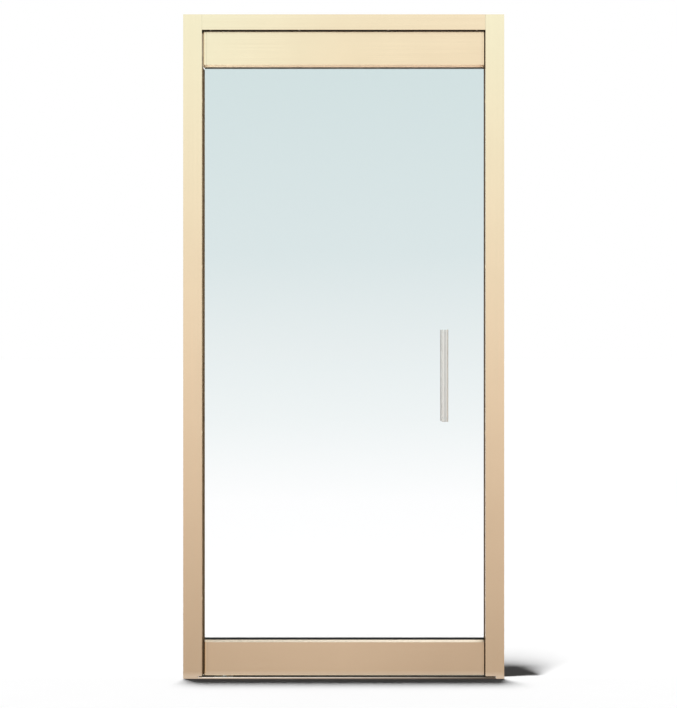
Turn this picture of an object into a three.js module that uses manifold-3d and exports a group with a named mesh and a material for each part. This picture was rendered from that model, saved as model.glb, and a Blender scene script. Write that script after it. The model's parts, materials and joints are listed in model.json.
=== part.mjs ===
// A framed glass entrance door: two full-height jambs, a head and a sill plate in satin champagne
// aluminium, and one centre-hung leaf of 12 mm glass between a top and a bottom rail, with a pair of
// straight tubular pulls. The hollow head holds an overhead closer, whose shaft is the upper pivot,
// and an electric strike of the bolt type, which drops a round bolt into the top rail.
//
// Units are millimetres. +Z is up, -Y is the side that the leaf opens towards, and the pivot side is
// at -X. The origin is on the floor, at the middle of the sill plate.

import * as THREE from "three";
import { mergeVertices } from "three/addons/utils/BufferGeometryUtils.js";
import Module from "manifold-3d";

const wasm = await Module();
wasm.setup();

// ---------------------------------------------------------------- driving dimensions

const GAP = 0.3; // space kept between pieces that touch
const PLAY = 0.4; // round a pin, shaft or bolt that turns or slides in its bearing
const HOLE_PLAY = 0.5; // round one that only passes through
const ROUND = 32; // segments round a visible cylinder
const ROUND_INSIDE = 20; // segments round a concealed one

// Outer frame
const FRAME_WIDTH = 1057;
const FRAME_HEIGHT = 2187.5;
const FRAME_DEPTH = 101.6;
const JAMB_FACE = 61.5;
const HEAD_FACE = 50.8;
const FRAME_WALL = 3;
const LEDGE = 6; // ledge in the head that the soffit plate rests against
const SILL_THICKNESS = 5; // at the lips along its two long edges
const SILL_TREAD = 2.2; // between the lips
const SILL_LIP = 3.5;
const SILL_CHAMFER = 1.5;
const SILL_LAP = { pivot: 12, strike: 34 }; // length of sill plate let into each jamb's foot
const SILL_NOTCH = 3.3; // space between the sill plate and the foot notched over it
const SILL_GROOVE = { width: 3, depth: 0.8, pitch: 6.5, count: 4, first: 24 };

// Leaf
const PIVOT_FROM_JAMB = 70;
const PIVOT_BASE = { half: 32, across: 16, plate: 3, pin: 7, pinTop: 38 };
const PIVOT_BORE_ROOM = 2; // above the pin, in the shoe
const LEAF_THICKNESS = 44.4;
const TOP_CLEARANCE = 3;
const BOTTOM_CLEARANCE = 3;
const HEEL_CLEARANCE_TOP = 3.5; // top rail to pivot jamb
const HEEL_CLEARANCE = 7.5; // glass and bottom rail to pivot jamb, over the edge seal
const STRIKE_CLEARANCE = 3.5;
const RAIL_HEIGHT = 116;
const RAIL_TAPER = 7; // height of the sloping lip towards the glass
const RAIL_LIP = 9.8; // half the slot that the two lips leave for glass and gaskets
const COVER_WALL = 2;
const RAIL_CHAMBER = 15.9; // half the clear width of a rail's hardware chamber
const RAIL_WEB = 5;
const HEEL_CAP = 10;
const HEEL_RADIUS = 3;
const STRIKE_CAP = 6;
const GLASS_THICKNESS = 12;
const GLASS_BITE = 32; // depth of glass held in each rail
const GASKET_REVEAL = { top: 4, bottom: 6 }; // height of gasket that shows beyond the lip
const GASKET_WALL = 3.2;
const SETTING_SPACE = 4;

// Edge seals on the jambs. The leg of each carrier stands behind the leaf, from legStart to the
// carrier's back edge, and reaches this far from the jamb.
const PIVOT_SEAL = { carrier: 2.5, brush: 1.3, leg: 5.6, legStart: 29, front: 10, back: 31 };
const STRIKE_SEAL = { carrier: 1, brush: 1.6, leg: 2, legStart: 25, front: 10, back: 27 };
const SEAL_BRUSH_HALF = 4;
const HEAD_STOP = { start: -345, clearance: 2.3, depth: 15.5, height: 13.7, seal: 1.7 };

// Pulls
const PULL_X = 333.2;
const PULL_HEIGHT = 998.1;
const PULL_LENGTH = 304;
const PULL_RADIUS = 11;
const PULL_WALL = 2;
const PULL_CAP = 12;
const PULL_SPIGOT = 8;
const PULL_AXIS = 56; // from the middle of the glass to the axis of the tube
const POST_SPACING = 203.2;
const POST_RADIUS = 8;
const POST_WASHER = 1.2;
const STUD_RADIUS = 4;
const STUD_LENGTH = 60;
const GLASS_HOLE_RADIUS = 7;

// Overhead closer
const CLOSER_HALF_DEPTH = 23;
const CLOSER_HEIGHT = 40;
const CLOSER_BACK = 42; // from the shaft to the blind end
const CLOSER_FRONT = 208; // from the shaft to the spring end
const CLOSER_BORE = 17;
const CLOSER_END_WALL = 5;
const MODULE = 1.6;
const PINION_TEETH = 10;
const PRESSURE_ANGLE = THREE.MathUtils.degToRad(20);
const BACKLASH = 0.3;
const RACK_ADDENDUM = 0.9; // kept short, so that ten teeth need no undercut
const OPENING_ANGLE = THREE.MathUtils.degToRad(105);
const PISTON = { radius: 16.6, back: 33, front: 47, windowSide: 11.5 };
const SPRING = { wire: 2.25, radius: 13.4, turns: 10 };
const PINION_HALF = 9.5; // half the pinion's face width
const SHAFT_RADIUS = 8;
const NECK_RADIUS = 6;
const SHAFT_SQUARE = 12;
const SPRING_CAP = 15.7;

// Electric bolt strike
const BOLT_X = 405;
const BOLT_RADIUS = 8;
const BOLT_THROW = 14;
const BOLT_SOLID = 16.8; // length below the slit
const BOLT_LENGTH = 41.8;
const BOLT_SLIT = 1.8; // half the slit's width
const PIN_RADIUS = 2;
const PIN_BELOW_TOP = 6;
const CASE = { x0: 238, x1: 448, half: 17, top: 45.8, wall: 1.5 };
const FACEPLATE = { x0: 233, x1: 453, half: 18, thickness: 2.5 };
const PLUNGER = { radius: 5, x0: 316, x1: 384, collar: 373 };
const COIL = { x0: 300, x1: 344, radius: 15 };
const YOKE = { cheek: 4.5, floor: 3 };
const PLUNGER_SPRING = { wire: 0.5, radius: 6.2, turns: 6 };
const BOARD = { x0: 244, x1: 290, half: 14, height: 10, thickness: 1.6 };
const RECEIVER = { half: 25, depth: 26, pocket: 9.3, pocketDepth: 19 };

// ---------------------------------------------------------------- places worked out from them

const openingHalf = FRAME_WIDTH / 2 - JAMB_FACE;
const halfDepth = FRAME_DEPTH / 2;
const headBottom = FRAME_HEIGHT - HEAD_FACE;
const pivotX = -openingHalf + PIVOT_FROM_JAMB;
const leafHalf = LEAF_THICKNESS / 2;
const leafBottom = SILL_THICKNESS + BOTTOM_CLEARANCE;
const leafTop = headBottom - TOP_CLEARANCE;
const topHeelX = -openingHalf + HEEL_CLEARANCE_TOP;
const heelX = -openingHalf + HEEL_CLEARANCE;
const strikeEdgeX = openingHalf - STRIKE_CLEARANCE;
const glassBottom = leafBottom + RAIL_HEIGHT - GLASS_BITE;
const glassTop = leafTop - RAIL_HEIGHT + GLASS_BITE;
const glassHalf = GLASS_THICKNESS / 2;
const railBodyHalf = leafHalf - COVER_WALL - GAP;
const soffitTop = headBottom + FRAME_WALL;

// ---------------------------------------------------------------- materials

const finish = (color, roughness, metalness, extra = {}) =>
  new THREE.MeshStandardMaterial({ color, roughness, metalness, ...extra });
const champagne = finish(0xdcc19c, 0.35, 1);
const bronzeTrim = finish(0x6b573c, 0.5, 0.8);
const clearGlass = finish(0xd6e6e6, 0.03, 0, { transparent: true, opacity: 0.35 });
const stainless = finish(0xc9c7c2, 0.3, 1);
const steel = finish(0x9b9a96, 0.4, 1);
const castMetal = finish(0x7c7d80, 0.55, 0.6);
const gasketRubber = finish(0x33322f, 0.8, 0);
const brushPile = finish(0x4f4335, 0.95, 0);
const zincPlate = finish(0xb4b6b8, 0.4, 0.9);
const coilTape = finish(0xc98a2b, 0.6, 0);
const boardGreen = finish(0x1f6b45, 0.6, 0);

// ---------------------------------------------------------------- shape helpers

const X = new THREE.Vector3(1, 0, 0);
const Y = new THREE.Vector3(0, 1, 0);
const Z = new THREE.Vector3(0, 0, 1);

const shapeOf = (points) => new THREE.Shape(points.map(([u, v]) => new THREE.Vector2(u, v)));

const rectangle = (u0, u1, v0, v1) =>
  shapeOf([
    [u0, v0],
    [u1, v0],
    [u1, v1],
    [u0, v1],
  ]);

// A shape drawn in (y, z), swept along X.
function alongX(shape, x0, x1) {
  const swept = new THREE.ExtrudeGeometry(shape, { depth: x1 - x0, bevelEnabled: false });
  return swept.applyMatrix4(new THREE.Matrix4().makeBasis(Y, Z, X)).translate(x0, 0, 0);
}

// A shape drawn in (x, z), swept along Y.
function alongY(shape, y0, y1) {
  const swept = new THREE.ExtrudeGeometry(shape, { depth: y1 - y0, bevelEnabled: false });
  const basis = new THREE.Matrix4().makeBasis(X, Z, Y.clone().negate());
  return swept.applyMatrix4(basis).translate(0, y1, 0);
}

// A shape drawn in (x, y), swept along Z.
function alongZ(shape, z0, z1) {
  const swept = new THREE.ExtrudeGeometry(shape, { depth: z1 - z0, bevelEnabled: false });
  return swept.translate(0, 0, z0);
}

const block = (x0, x1, y0, y1, z0, z1) =>
  new THREE.BoxGeometry(x1 - x0, y1 - y0, z1 - z0).translate(
    (x0 + x1) / 2,
    (y0 + y1) / 2,
    (z0 + z1) / 2,
  );

// Cylinders along each axis, between two stations on it, at the other two coordinates given.
const rodX = (radius, x0, x1, y, z, segments = ROUND) =>
  new THREE.CylinderGeometry(radius, radius, x1 - x0, segments)
    .rotateZ(-Math.PI / 2)
    .translate((x0 + x1) / 2, y, z);
const rodY = (radius, y0, y1, x, z, segments = ROUND) =>
  new THREE.CylinderGeometry(radius, radius, y1 - y0, segments).translate(x, (y0 + y1) / 2, z);
const rodZ = (radius, z0, z1, x, y, segments = ROUND) =>
  new THREE.CylinderGeometry(radius, radius, z1 - z0, segments)
    .rotateX(Math.PI / 2)
    .translate(x, y, (z0 + z1) / 2);

function solidOf(geometry) {
  const bare = geometry.clone();
  bare.deleteAttribute("normal");
  bare.deleteAttribute("uv");
  const merged = mergeVertices(bare, 1e-4);
  const mesh = new wasm.Mesh({
    numProp: 3,
    vertProperties: merged.attributes.position.array,
    triVerts: new Uint32Array(merged.index.array),
  });
  return new wasm.Manifold(mesh);
}

function geometryOf(solid) {
  const mesh = solid.getMesh();
  const geometry = new THREE.BufferGeometry();
  geometry.setAttribute(
    "position",
    new THREE.BufferAttribute(new Float32Array(mesh.vertProperties), 3),
  );
  geometry.setIndex(new THREE.BufferAttribute(new Uint32Array(mesh.triVerts), 1));
  geometry.computeVertexNormals();
  return geometry;
}

const combine = (body, pieces, how) =>
  geometryOf(pieces.reduce((solid, piece) => solid[how](solidOf(piece)), solidOf(body)));
const cut = (body, ...tools) => combine(body, tools, "subtract");
const join = (body, ...others) => combine(body, others, "add");
const common = (body, other) => combine(body, [other], "intersect");

function put(group, name, geometry, material) {
  const mesh = new THREE.Mesh(geometry, material);
  mesh.name = name;
  group.add(mesh);
}

// ---------------------------------------------------------------- frame

// A jamb is a hollow rectangular extrusion, notched at its foot over the sill plate.
function jamb(side, lap) {
  const inner = side * openingHalf;
  const outer = (side * FRAME_WIDTH) / 2;
  const [x0, x1] = [Math.min(inner, outer), Math.max(inner, outer)];
  const section = rectangle(x0, x1, -halfDepth, halfDepth);
  const w = FRAME_WALL;
  section.holes.push(rectangle(x0 + w, x1 - w, -halfDepth + w, halfDepth - w));
  const notchStart = inner - side;
  const notchEnd = inner + side * (lap + GAP);
  const notch = block(
    Math.min(notchStart, notchEnd),
    Math.max(notchStart, notchEnd),
    -FRAME_DEPTH,
    FRAME_DEPTH,
    -1,
    SILL_THICKNESS + SILL_NOTCH,
  );
  return cut(alongZ(section, 0, FRAME_HEIGHT), notch);
}

// The head is an inverted channel; two ledges inside it hold the soffit plate.
function headChannel() {
  const inside = halfDepth - FRAME_WALL;
  const ledgeBottom = soffitTop + GAP;
  const half = [
    [halfDepth, headBottom],
    [halfDepth, FRAME_HEIGHT],
  ];
  const inner = [
    [inside, FRAME_HEIGHT - FRAME_WALL],
    [inside, ledgeBottom + 2],
    [inside - LEDGE, ledgeBottom + 2],
    [inside - LEDGE, ledgeBottom],
    [inside, ledgeBottom],
    [inside, headBottom],
  ];
  const mirror = (points) => points.map(([y, z]) => [-y, z]).reverse();
  const section = shapeOf([...half, ...mirror(half), ...mirror(inner), ...inner]);
  return alongX(section, -openingHalf + GAP, openingHalf - GAP);
}

function headSoffit() {
  const half = halfDepth - FRAME_WALL - GAP;
  const plate = block(
    -openingHalf + GAP,
    openingHalf - GAP,
    -half,
    half,
    headBottom,
    soffitTop,
  );
  const shaftOpening = rodZ(13, headBottom - 1, soffitTop + 1, pivotX, 0);
  const strikeOpening = block(
    FACEPLATE.x0 - GAP,
    FACEPLATE.x1 + GAP,
    -FACEPLATE.half - GAP,
    FACEPLATE.half + GAP,
    headBottom - 1,
    soffitTop + 1,
  );
  return cut(plate, shaftOpening, strikeOpening);
}

// The sill plate is let into the foot of both jambs. A chamfered lip runs along each long edge, and
// between the lips is a lower tread, grooved in front of and behind the leaf.
function sillPlate() {
  const top = SILL_THICKNESS;
  const tread = SILL_TREAD;
  const lipInside = halfDepth - SILL_LIP;
  const points = [
    [-halfDepth, 0],
    [halfDepth, 0],
    [halfDepth, top - SILL_CHAMFER],
    [halfDepth - SILL_CHAMFER, top],
    [lipInside, top],
    [lipInside, tread],
  ];
  const { width, depth, pitch, count, first } = SILL_GROOVE;
  const starts = Array.from({ length: count }, (_, i) => first + i * pitch);
  const ys = [...starts.map((y) => y + width).reverse(), ...starts.map((y) => -y)];
  for (const y of ys) {
    points.push([y, tread], [y - width / 4, tread - depth]);
    points.push([y - (3 * width) / 4, tread - depth], [y - width, tread]);
  }
  points.push([-lipInside, tread], [-lipInside, top]);
  points.push([-halfDepth + SILL_CHAMFER, top], [-halfDepth, top - SILL_CHAMFER]);
  const x0 = -openingHalf - SILL_LAP.pivot;
  const x1 = openingHalf + SILL_LAP.strike;
  const plate = alongX(shapeOf(points), x0, x1);
  const { half, across } = PIVOT_BASE;
  const pivotOpening = block(pivotX - half, pivotX + half, -across, across, -1, top + 1);
  return cut(plate, pivotOpening);
}

// Plate and fixed pin of the bottom pivot, let into the sill's tread.
function bottomPivotBase() {
  const half = PIVOT_BASE.half - GAP;
  const across = PIVOT_BASE.across - GAP;
  const { plate, pin, pinTop } = PIVOT_BASE;
  const base = block(pivotX - half, pivotX + half, -across, across, 0, plate);
  return join(base, rodZ(pin, plate - 1, pinTop, pivotX, 0));
}

// An edge seal is an angle-shaped metal carrier on a jamb's inner face. Its brush pile faces the
// leaf's edge, and its short leg narrows the gap from behind.
function edgeSeal(group, name, side, seal, top) {
  const bottom = SILL_THICKNESS + SILL_NOTCH;
  const fromJamb = (distance) => side * (openingHalf - distance);
  const outline = [
    [fromJamb(GAP), -seal.front],
    [fromJamb(seal.carrier), -seal.front],
    [fromJamb(seal.carrier), seal.legStart],
    [fromJamb(seal.leg), seal.legStart],
    [fromJamb(seal.leg), seal.back],
    [fromJamb(GAP), seal.back],
  ];
  const carrier = alongZ(shapeOf(side > 0 ? outline.reverse() : outline), bottom, top);
  put(group, name + "_carrier", carrier, bronzeTrim);

  const root = fromJamb(seal.carrier + GAP);
  const tip = fromJamb(seal.carrier + GAP + seal.brush);
  const half = SEAL_BRUSH_HALF;
  const brush = block(Math.min(root, tip), Math.max(root, tip), -half, half, bottom, top);
  put(group, name + "_brush", brush, brushPile);
}

function frameAssembly() {
  const group = new THREE.Group();
  put(group, "pivot_jamb", jamb(-1, SILL_LAP.pivot), champagne);
  put(group, "strike_jamb", jamb(1, SILL_LAP.strike), champagne);
  put(group, "head_channel", headChannel(), champagne);
  put(group, "head_soffit_plate", headSoffit(), bronzeTrim);
  put(group, "sill_plate", sillPlate(), champagne);
  put(group, "bottom_pivot_base", bottomPivotBase(), stainless);

  const belowTopRail = leafTop - RAIL_HEIGHT - GAP - 2.5;
  edgeSeal(group, "pivot_edge_seal", -1, PIVOT_SEAL, belowTopRail);
  edgeSeal(group, "strike_edge_seal", 1, STRIKE_SEAL, headBottom - GAP);

  // The head stop starts clear of the heel's path as the leaf opens.
  const stopFront = leafHalf + HEAD_STOP.clearance;
  const stopTop = headBottom - GAP;
  const stopEnd = openingHalf - STRIKE_SEAL.leg - 1;
  const stopBack = stopFront + HEAD_STOP.depth;
  const stopBottom = stopTop - HEAD_STOP.height;
  const stop = block(HEAD_STOP.start, stopEnd, stopFront, stopBack, stopBottom, stopTop);
  put(group, "head_stop", stop, champagne);
  const sealFront = stopFront - GAP - HEAD_STOP.seal;
  const sealBlock = block(
    HEAD_STOP.start,
    stopEnd,
    sealFront,
    stopFront - GAP,
    stopBottom + 3,
    stopTop - 3,
  );
  put(group, "head_stop_seal", sealBlock, brushPile);
  return group;
}

// ---------------------------------------------------------------- leaf rails

// Both rails share one section. It is drawn here with the glass above it, as in the bottom rail,
// with v = 0 at the rail's outer edge. The top rail uses it upside down.
const railV = (isTop, v) => (isTop ? leafTop - v : leafBottom + v);
const railShape = (isTop, points) => {
  const placed = points.map(([y, v]) => [y, railV(isTop, v)]);
  return shapeOf(isTop ? placed.reverse() : placed);
};

const taperFoot = RAIL_HEIGHT - RAIL_TAPER;
const webTop = RAIL_HEIGHT - GLASS_BITE - SETTING_SPACE;
const lipDepth = RAIL_LIP + 2.2; // the lip is level from here to the gasket

// Extruded body: a glass pocket on one side of the web and a hardware chamber on the other.
function railBody(isTop, x0, x1) {
  const pocket = glassHalf + GASKET_WALL + 2 * GAP;
  const bodyTop = taperFoot - 1.5;
  const section = railShape(isTop, [
    [-railBodyHalf, 0],
    [-RAIL_CHAMBER, 0],
    [-RAIL_CHAMBER, webTop - RAIL_WEB],
    [RAIL_CHAMBER, webTop - RAIL_WEB],
    [RAIL_CHAMBER, 0],
    [railBodyHalf, 0],
    [railBodyHalf, bodyTop],
    [pocket, bodyTop],
    [pocket, webTop],
    [-pocket, webTop],
    [-pocket, bodyTop],
    [-railBodyHalf, bodyTop],
  ]);
  return alongX(section, x0, x1);
}

// Snap-on cover: a flat face with a sloping lip that runs in to the gasket.
function railCover(isTop, side, x0, x1) {
  const w = COVER_WALL;
  const points = [
    [leafHalf, 0],
    [leafHalf, taperFoot],
    [lipDepth, RAIL_HEIGHT],
    [RAIL_LIP, RAIL_HEIGHT],
    [RAIL_LIP, RAIL_HEIGHT - w],
    [lipDepth - 0.6, RAIL_HEIGHT - w],
    [leafHalf - w, taperFoot - 1],
    [leafHalf - w, 0],
  ].map(([y, v]) => [side * y, v]);
  return alongX(railShape(isTop, side > 0 ? points : points.reverse()), x0, x1);
}

// End cap: the rail's outline with a slot that the glass and gaskets run into. The heel end is
// rounded in plan, so that it clears the jamb as the leaf turns.
function railCap(isTop, x0, x1, rounded) {
  const slotFloor = webTop - GAP;
  const section = railShape(isTop, [
    [-leafHalf, 0],
    [leafHalf, 0],
    [leafHalf, taperFoot],
    [lipDepth, RAIL_HEIGHT],
    [RAIL_LIP, RAIL_HEIGHT],
    [RAIL_LIP, slotFloor],
    [-RAIL_LIP, slotFloor],
    [-RAIL_LIP, RAIL_HEIGHT],
    [-lipDepth, RAIL_HEIGHT],
    [-leafHalf, taperFoot],
  ]);
  const cap = alongX(section, x0, x1);
  if (!rounded) return cap;
  const r = HEEL_RADIUS;
  const plan = new THREE.Shape()
    .moveTo(x1 + 1, -leafHalf)
    .lineTo(x1 + 1, leafHalf)
    .lineTo(x0 + r, leafHalf)
    .absarc(x0 + r, leafHalf - r, r, Math.PI / 2, Math.PI, false)
    .lineTo(x0, -leafHalf + r)
    .absarc(x0 + r, -leafHalf + r, r, Math.PI, 1.5 * Math.PI, false);
  return common(cap, alongZ(plan, leafBottom - 1, leafTop + 1));
}

function gasket(isTop, side) {
  const inner = glassHalf + GAP;
  const outer = inner + GASKET_WALL;
  const tip = RAIL_HEIGHT + (isTop ? GASKET_REVEAL.top : GASKET_REVEAL.bottom);
  const points = [
    [inner, webTop + SETTING_SPACE + 2],
    [outer, webTop + SETTING_SPACE + 2],
    [outer, tip - 2],
    [inner + 1, tip],
    [inner, tip],
  ].map(([y, v]) => [side * y, v]);
  return alongX(railShape(isTop, side > 0 ? points : points.reverse()), heelX, strikeEdgeX);
}

function railAssembly(rail) {
  const isTop = rail === "top";
  const group = new THREE.Group();
  const heel = isTop ? topHeelX : heelX;
  const bodyStart = heel + HEEL_CAP + GAP;
  const bodyEnd = strikeEdgeX - STRIKE_CAP - GAP;
  const name = (piece) => `${rail}_rail_${piece}`;
  put(group, name("body"), railBody(isTop, bodyStart, bodyEnd), champagne);
  put(group, name("front_cover"), railCover(isTop, -1, bodyStart, bodyEnd), champagne);
  put(group, name("back_cover"), railCover(isTop, 1, bodyStart, bodyEnd), champagne);
  put(group, name("pivot_cap"), railCap(isTop, heel, heel + HEEL_CAP, true), champagne);
  const strikeCap = railCap(isTop, strikeEdgeX - STRIKE_CAP, strikeEdgeX, false);
  put(group, name("strike_cap"), strikeCap, champagne);
  put(group, `${rail}_front_gasket`, gasket(isTop, -1), gasketRubber);
  put(group, `${rail}_back_gasket`, gasket(isTop, 1), gasketRubber);
  return group;
}

// ---------------------------------------------------------------- glass and leaf hardware

function glassPanel() {
  const pane = block(heelX, strikeEdgeX, -glassHalf, glassHalf, glassBottom, glassTop);
  const holes = [-1, 1].map((end) =>
    rodY(
      GLASS_HOLE_RADIUS,
      -glassHalf - 1,
      glassHalf + 1,
      PULL_X,
      PULL_HEIGHT + (end * POST_SPACING) / 2,
    ),
  );
  return cut(pane, ...holes);
}

// Block in the top rail that the closer's square shaft end drives.
function topPivotInsert() {
  const half = RAIL_CHAMBER - 2 * GAP;
  const body = block(pivotX - 45, pivotX + 45, -half, half, leafTop - 46, leafTop - 3);
  const s = SHAFT_SQUARE / 2 + GAP;
  return cut(body, block(pivotX - s, pivotX + s, -s, s, leafTop - 39, leafTop));
}

// Shoe in the bottom rail that turns on the fixed pin of the bottom pivot.
function bottomPivotShoe() {
  const half = RAIL_CHAMBER - 2 * GAP;
  const body = block(pivotX - 33, pivotX + 33, -half, half, leafBottom + 1, leafBottom + 42);
  const boreTop = PIVOT_BASE.pinTop + PIVOT_BORE_ROOM;
  return cut(body, rodZ(PIVOT_BASE.pin + PLAY, leafBottom, boreTop, pivotX, 0));
}

// Socket block in the top rail that takes the bolt.
function boltReceiver() {
  const half = RAIL_CHAMBER - 2 * GAP;
  const { half: length, depth, pocket, pocketDepth } = RECEIVER;
  const body = block(BOLT_X - length, BOLT_X + length, -half, half, leafTop - depth, leafTop);
  const socket = block(
    BOLT_X - pocket,
    BOLT_X + pocket,
    -pocket,
    pocket,
    leafTop - pocketDepth,
    leafTop + 1,
  );
  return cut(body, socket);
}

// Brush sweep: a holder across the bottom rail's chamber, with the pile hanging below it.
function bottomSweep() {
  const holder = RAIL_CHAMBER - 0.5;
  const pile = 2.5;
  const tip = SILL_THICKNESS + 0.6;
  const section = shapeOf([
    [-pile, tip],
    [pile, tip],
    [pile, leafBottom + 6],
    [holder, leafBottom + 6],
    [holder, leafBottom + 9],
    [-holder, leafBottom + 9],
    [-holder, leafBottom + 6],
    [-pile, leafBottom + 6],
  ]);
  return alongX(section, pivotX + 36, strikeEdgeX - STRIKE_CAP - 2);
}

// ---------------------------------------------------------------- pulls

// Straight tube, open at both ends for its caps.
function pullTube(side) {
  const half = PULL_LENGTH / 2 - PULL_CAP - GAP;
  const bore = PULL_RADIUS - PULL_WALL;
  const profile = [
    [bore, -half],
    [PULL_RADIUS, -half],
    [PULL_RADIUS, half],
    [bore, half],
    [bore, -half],
  ].map(([r, z]) => new THREE.Vector2(r, z));
  return new THREE.LatheGeometry(profile, ROUND)
    .rotateX(Math.PI / 2)
    .translate(PULL_X, side * PULL_AXIS, PULL_HEIGHT);
}

// End cap with a spigot in the tube and a fine chamfer round its outer end.
function pullCap(side, end) {
  const outer = PULL_LENGTH / 2;
  const inner = outer - PULL_CAP;
  const spigot = PULL_RADIUS - PULL_WALL - GAP;
  const profile = [
    [0, inner - PULL_SPIGOT],
    [spigot, inner - PULL_SPIGOT],
    [spigot, inner],
    [PULL_RADIUS, inner],
    [PULL_RADIUS, outer - 0.8],
    [PULL_RADIUS - 0.8, outer],
    [0, outer],
  ].map(([r, z]) => new THREE.Vector2(r, z));
  return new THREE.LatheGeometry(profile, ROUND)
    .rotateX((end * Math.PI) / 2)
    .translate(PULL_X, side * PULL_AXIS, PULL_HEIGHT);
}

// Post from the glass to the tube, bored for the through stud and saddled to the tube.
function pullPost(side, end) {
  const z = PULL_HEIGHT + (end * POST_SPACING) / 2;
  const foot = glassHalf + POST_WASHER + GAP;
  const span = (near, far) => (side > 0 ? [near, far] : [-far, -near]);
  const body = rodY(POST_RADIUS, ...span(foot, PULL_AXIS), PULL_X, z);
  const tube = rodZ(
    PULL_RADIUS + GAP,
    z - 2 * POST_RADIUS,
    z + 2 * POST_RADIUS,
    PULL_X,
    side * PULL_AXIS,
  );
  const studBore = rodY(
    STUD_RADIUS + GAP,
    ...span(foot - 1, STUD_LENGTH / 2 + 1),
    PULL_X,
    z,
    ROUND_INSIDE,
  );
  return cut(body, tube, studBore);
}

function pullAssembly() {
  const group = new THREE.Group();
  for (const [label, side] of [
    ["front", -1],
    ["back", 1],
  ]) {
    put(group, `${label}_pull_tube`, pullTube(side), stainless);
    for (const [place, end] of [
      ["upper", 1],
      ["lower", -1],
    ]) {
      put(group, `${label}_pull_${place}_cap`, pullCap(side, end), stainless);
      put(group, `${label}_pull_${place}_post`, pullPost(side, end), stainless);
    }
  }
  for (const [place, end] of [
    ["upper", 1],
    ["lower", -1],
  ]) {
    const z = PULL_HEIGHT + (end * POST_SPACING) / 2;
    const reach = STUD_LENGTH / 2;
    const stud = rodY(STUD_RADIUS, -reach, reach, PULL_X, z, ROUND_INSIDE);
    put(group, `pull_${place}_stud`, stud, steel);
  }
  return group;
}

// ---------------------------------------------------------------- closer

const pitchRadius = (MODULE * PINION_TEETH) / 2;
const baseRadius = pitchRadius * Math.cos(PRESSURE_ANGLE);
const tipRadius = pitchRadius + MODULE;
const rootRadius = pitchRadius - RACK_ADDENDUM - GAP;
const toothPitch = Math.PI * MODULE;
const toothThickness = toothPitch / 2 - BACKLASH / 2;
const closerBottom = soffitTop + 3;
const closerTop = closerBottom + CLOSER_HEIGHT;
const boreZ = (closerBottom + closerTop) / 2;
const boreFloor = boreZ - CLOSER_BORE;
const pistonTravel = pitchRadius * OPENING_ANGLE;
const springEndX = pivotX + CLOSER_FRONT - SPRING_CAP;

// Involute pinion with one tooth centred on +Y, towards the rack.
function pinionShape() {
  const involute = (r) => {
    const a = Math.acos(Math.min(1, baseRadius / r));
    return Math.tan(a) - a;
  };
  const atPitch = toothThickness / (2 * pitchRadius) + involute(pitchRadius);
  const halfAngle = (r) => atPitch - involute(r);
  const steps = 4;
  const radii = Array.from(
    { length: steps + 1 },
    (_, i) => baseRadius + ((tipRadius - baseRadius) * i) / steps,
  );
  const points = [];
  for (let tooth = 0; tooth < PINION_TEETH; tooth++) {
    const centre = Math.PI / 2 + (2 * Math.PI * tooth) / PINION_TEETH;
    const polar = (r, angle) =>
      points.push([pivotX + r * Math.cos(angle), r * Math.sin(angle)]);
    polar(rootRadius, centre - halfAngle(baseRadius));
    for (const r of radii) polar(r, centre - halfAngle(r));
    for (const r of [...radii].reverse()) polar(r, centre + halfAngle(r));
    polar(rootRadius, centre + halfAngle(baseRadius));
  }
  return shapeOf(points);
}

// The shaft: a square lower end in the top rail, a round journal in the bush, and the pinion on a
// neck that is thinner than the space between the rack's tips.
function pinionShaft() {
  const s = SHAFT_SQUARE / 2;
  const square = block(pivotX - s, pivotX + s, -s, s, leafTop - 36, leafTop - 1);
  const journal = rodZ(SHAFT_RADIUS, leafTop - 1.5, boreFloor, pivotX, 0, ROUND_INSIDE);
  const neck = rodZ(NECK_RADIUS, boreFloor - 1, closerTop - GAP, pivotX, 0, ROUND_INSIDE);
  const pinion = alongZ(pinionShape(), boreZ - PINION_HALF, boreZ + PINION_HALF);
  return join(square, journal, neck, pinion);
}

function closerBody() {
  const x0 = pivotX - CLOSER_BACK;
  const x1 = pivotX + CLOSER_FRONT;
  const d = CLOSER_HALF_DEPTH;
  const body = block(x0, x1, -d, d, closerBottom, closerTop);
  const bore = rodX(CLOSER_BORE, x0 + CLOSER_END_WALL, x1 + 1, 0, boreZ);
  const bushHole = rodZ(11, closerBottom - 1, boreZ, pivotX, 0);
  const upperHole = rodZ(6.4, boreZ, closerTop + 1, pivotX, 0, ROUND_INSIDE);
  return cut(body, bore, bushHole, upperHole);
}

// Bush round the shaft, let into the body's floor.
function closerBush() {
  const ring = rodZ(10.6, closerBottom - 4, boreFloor, pivotX, 0);
  return cut(
    ring,
    rodZ(SHAFT_RADIUS + PLAY, closerBottom - 5, closerBottom + 6, pivotX, 0, ROUND_INSIDE),
  );
}

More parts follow.
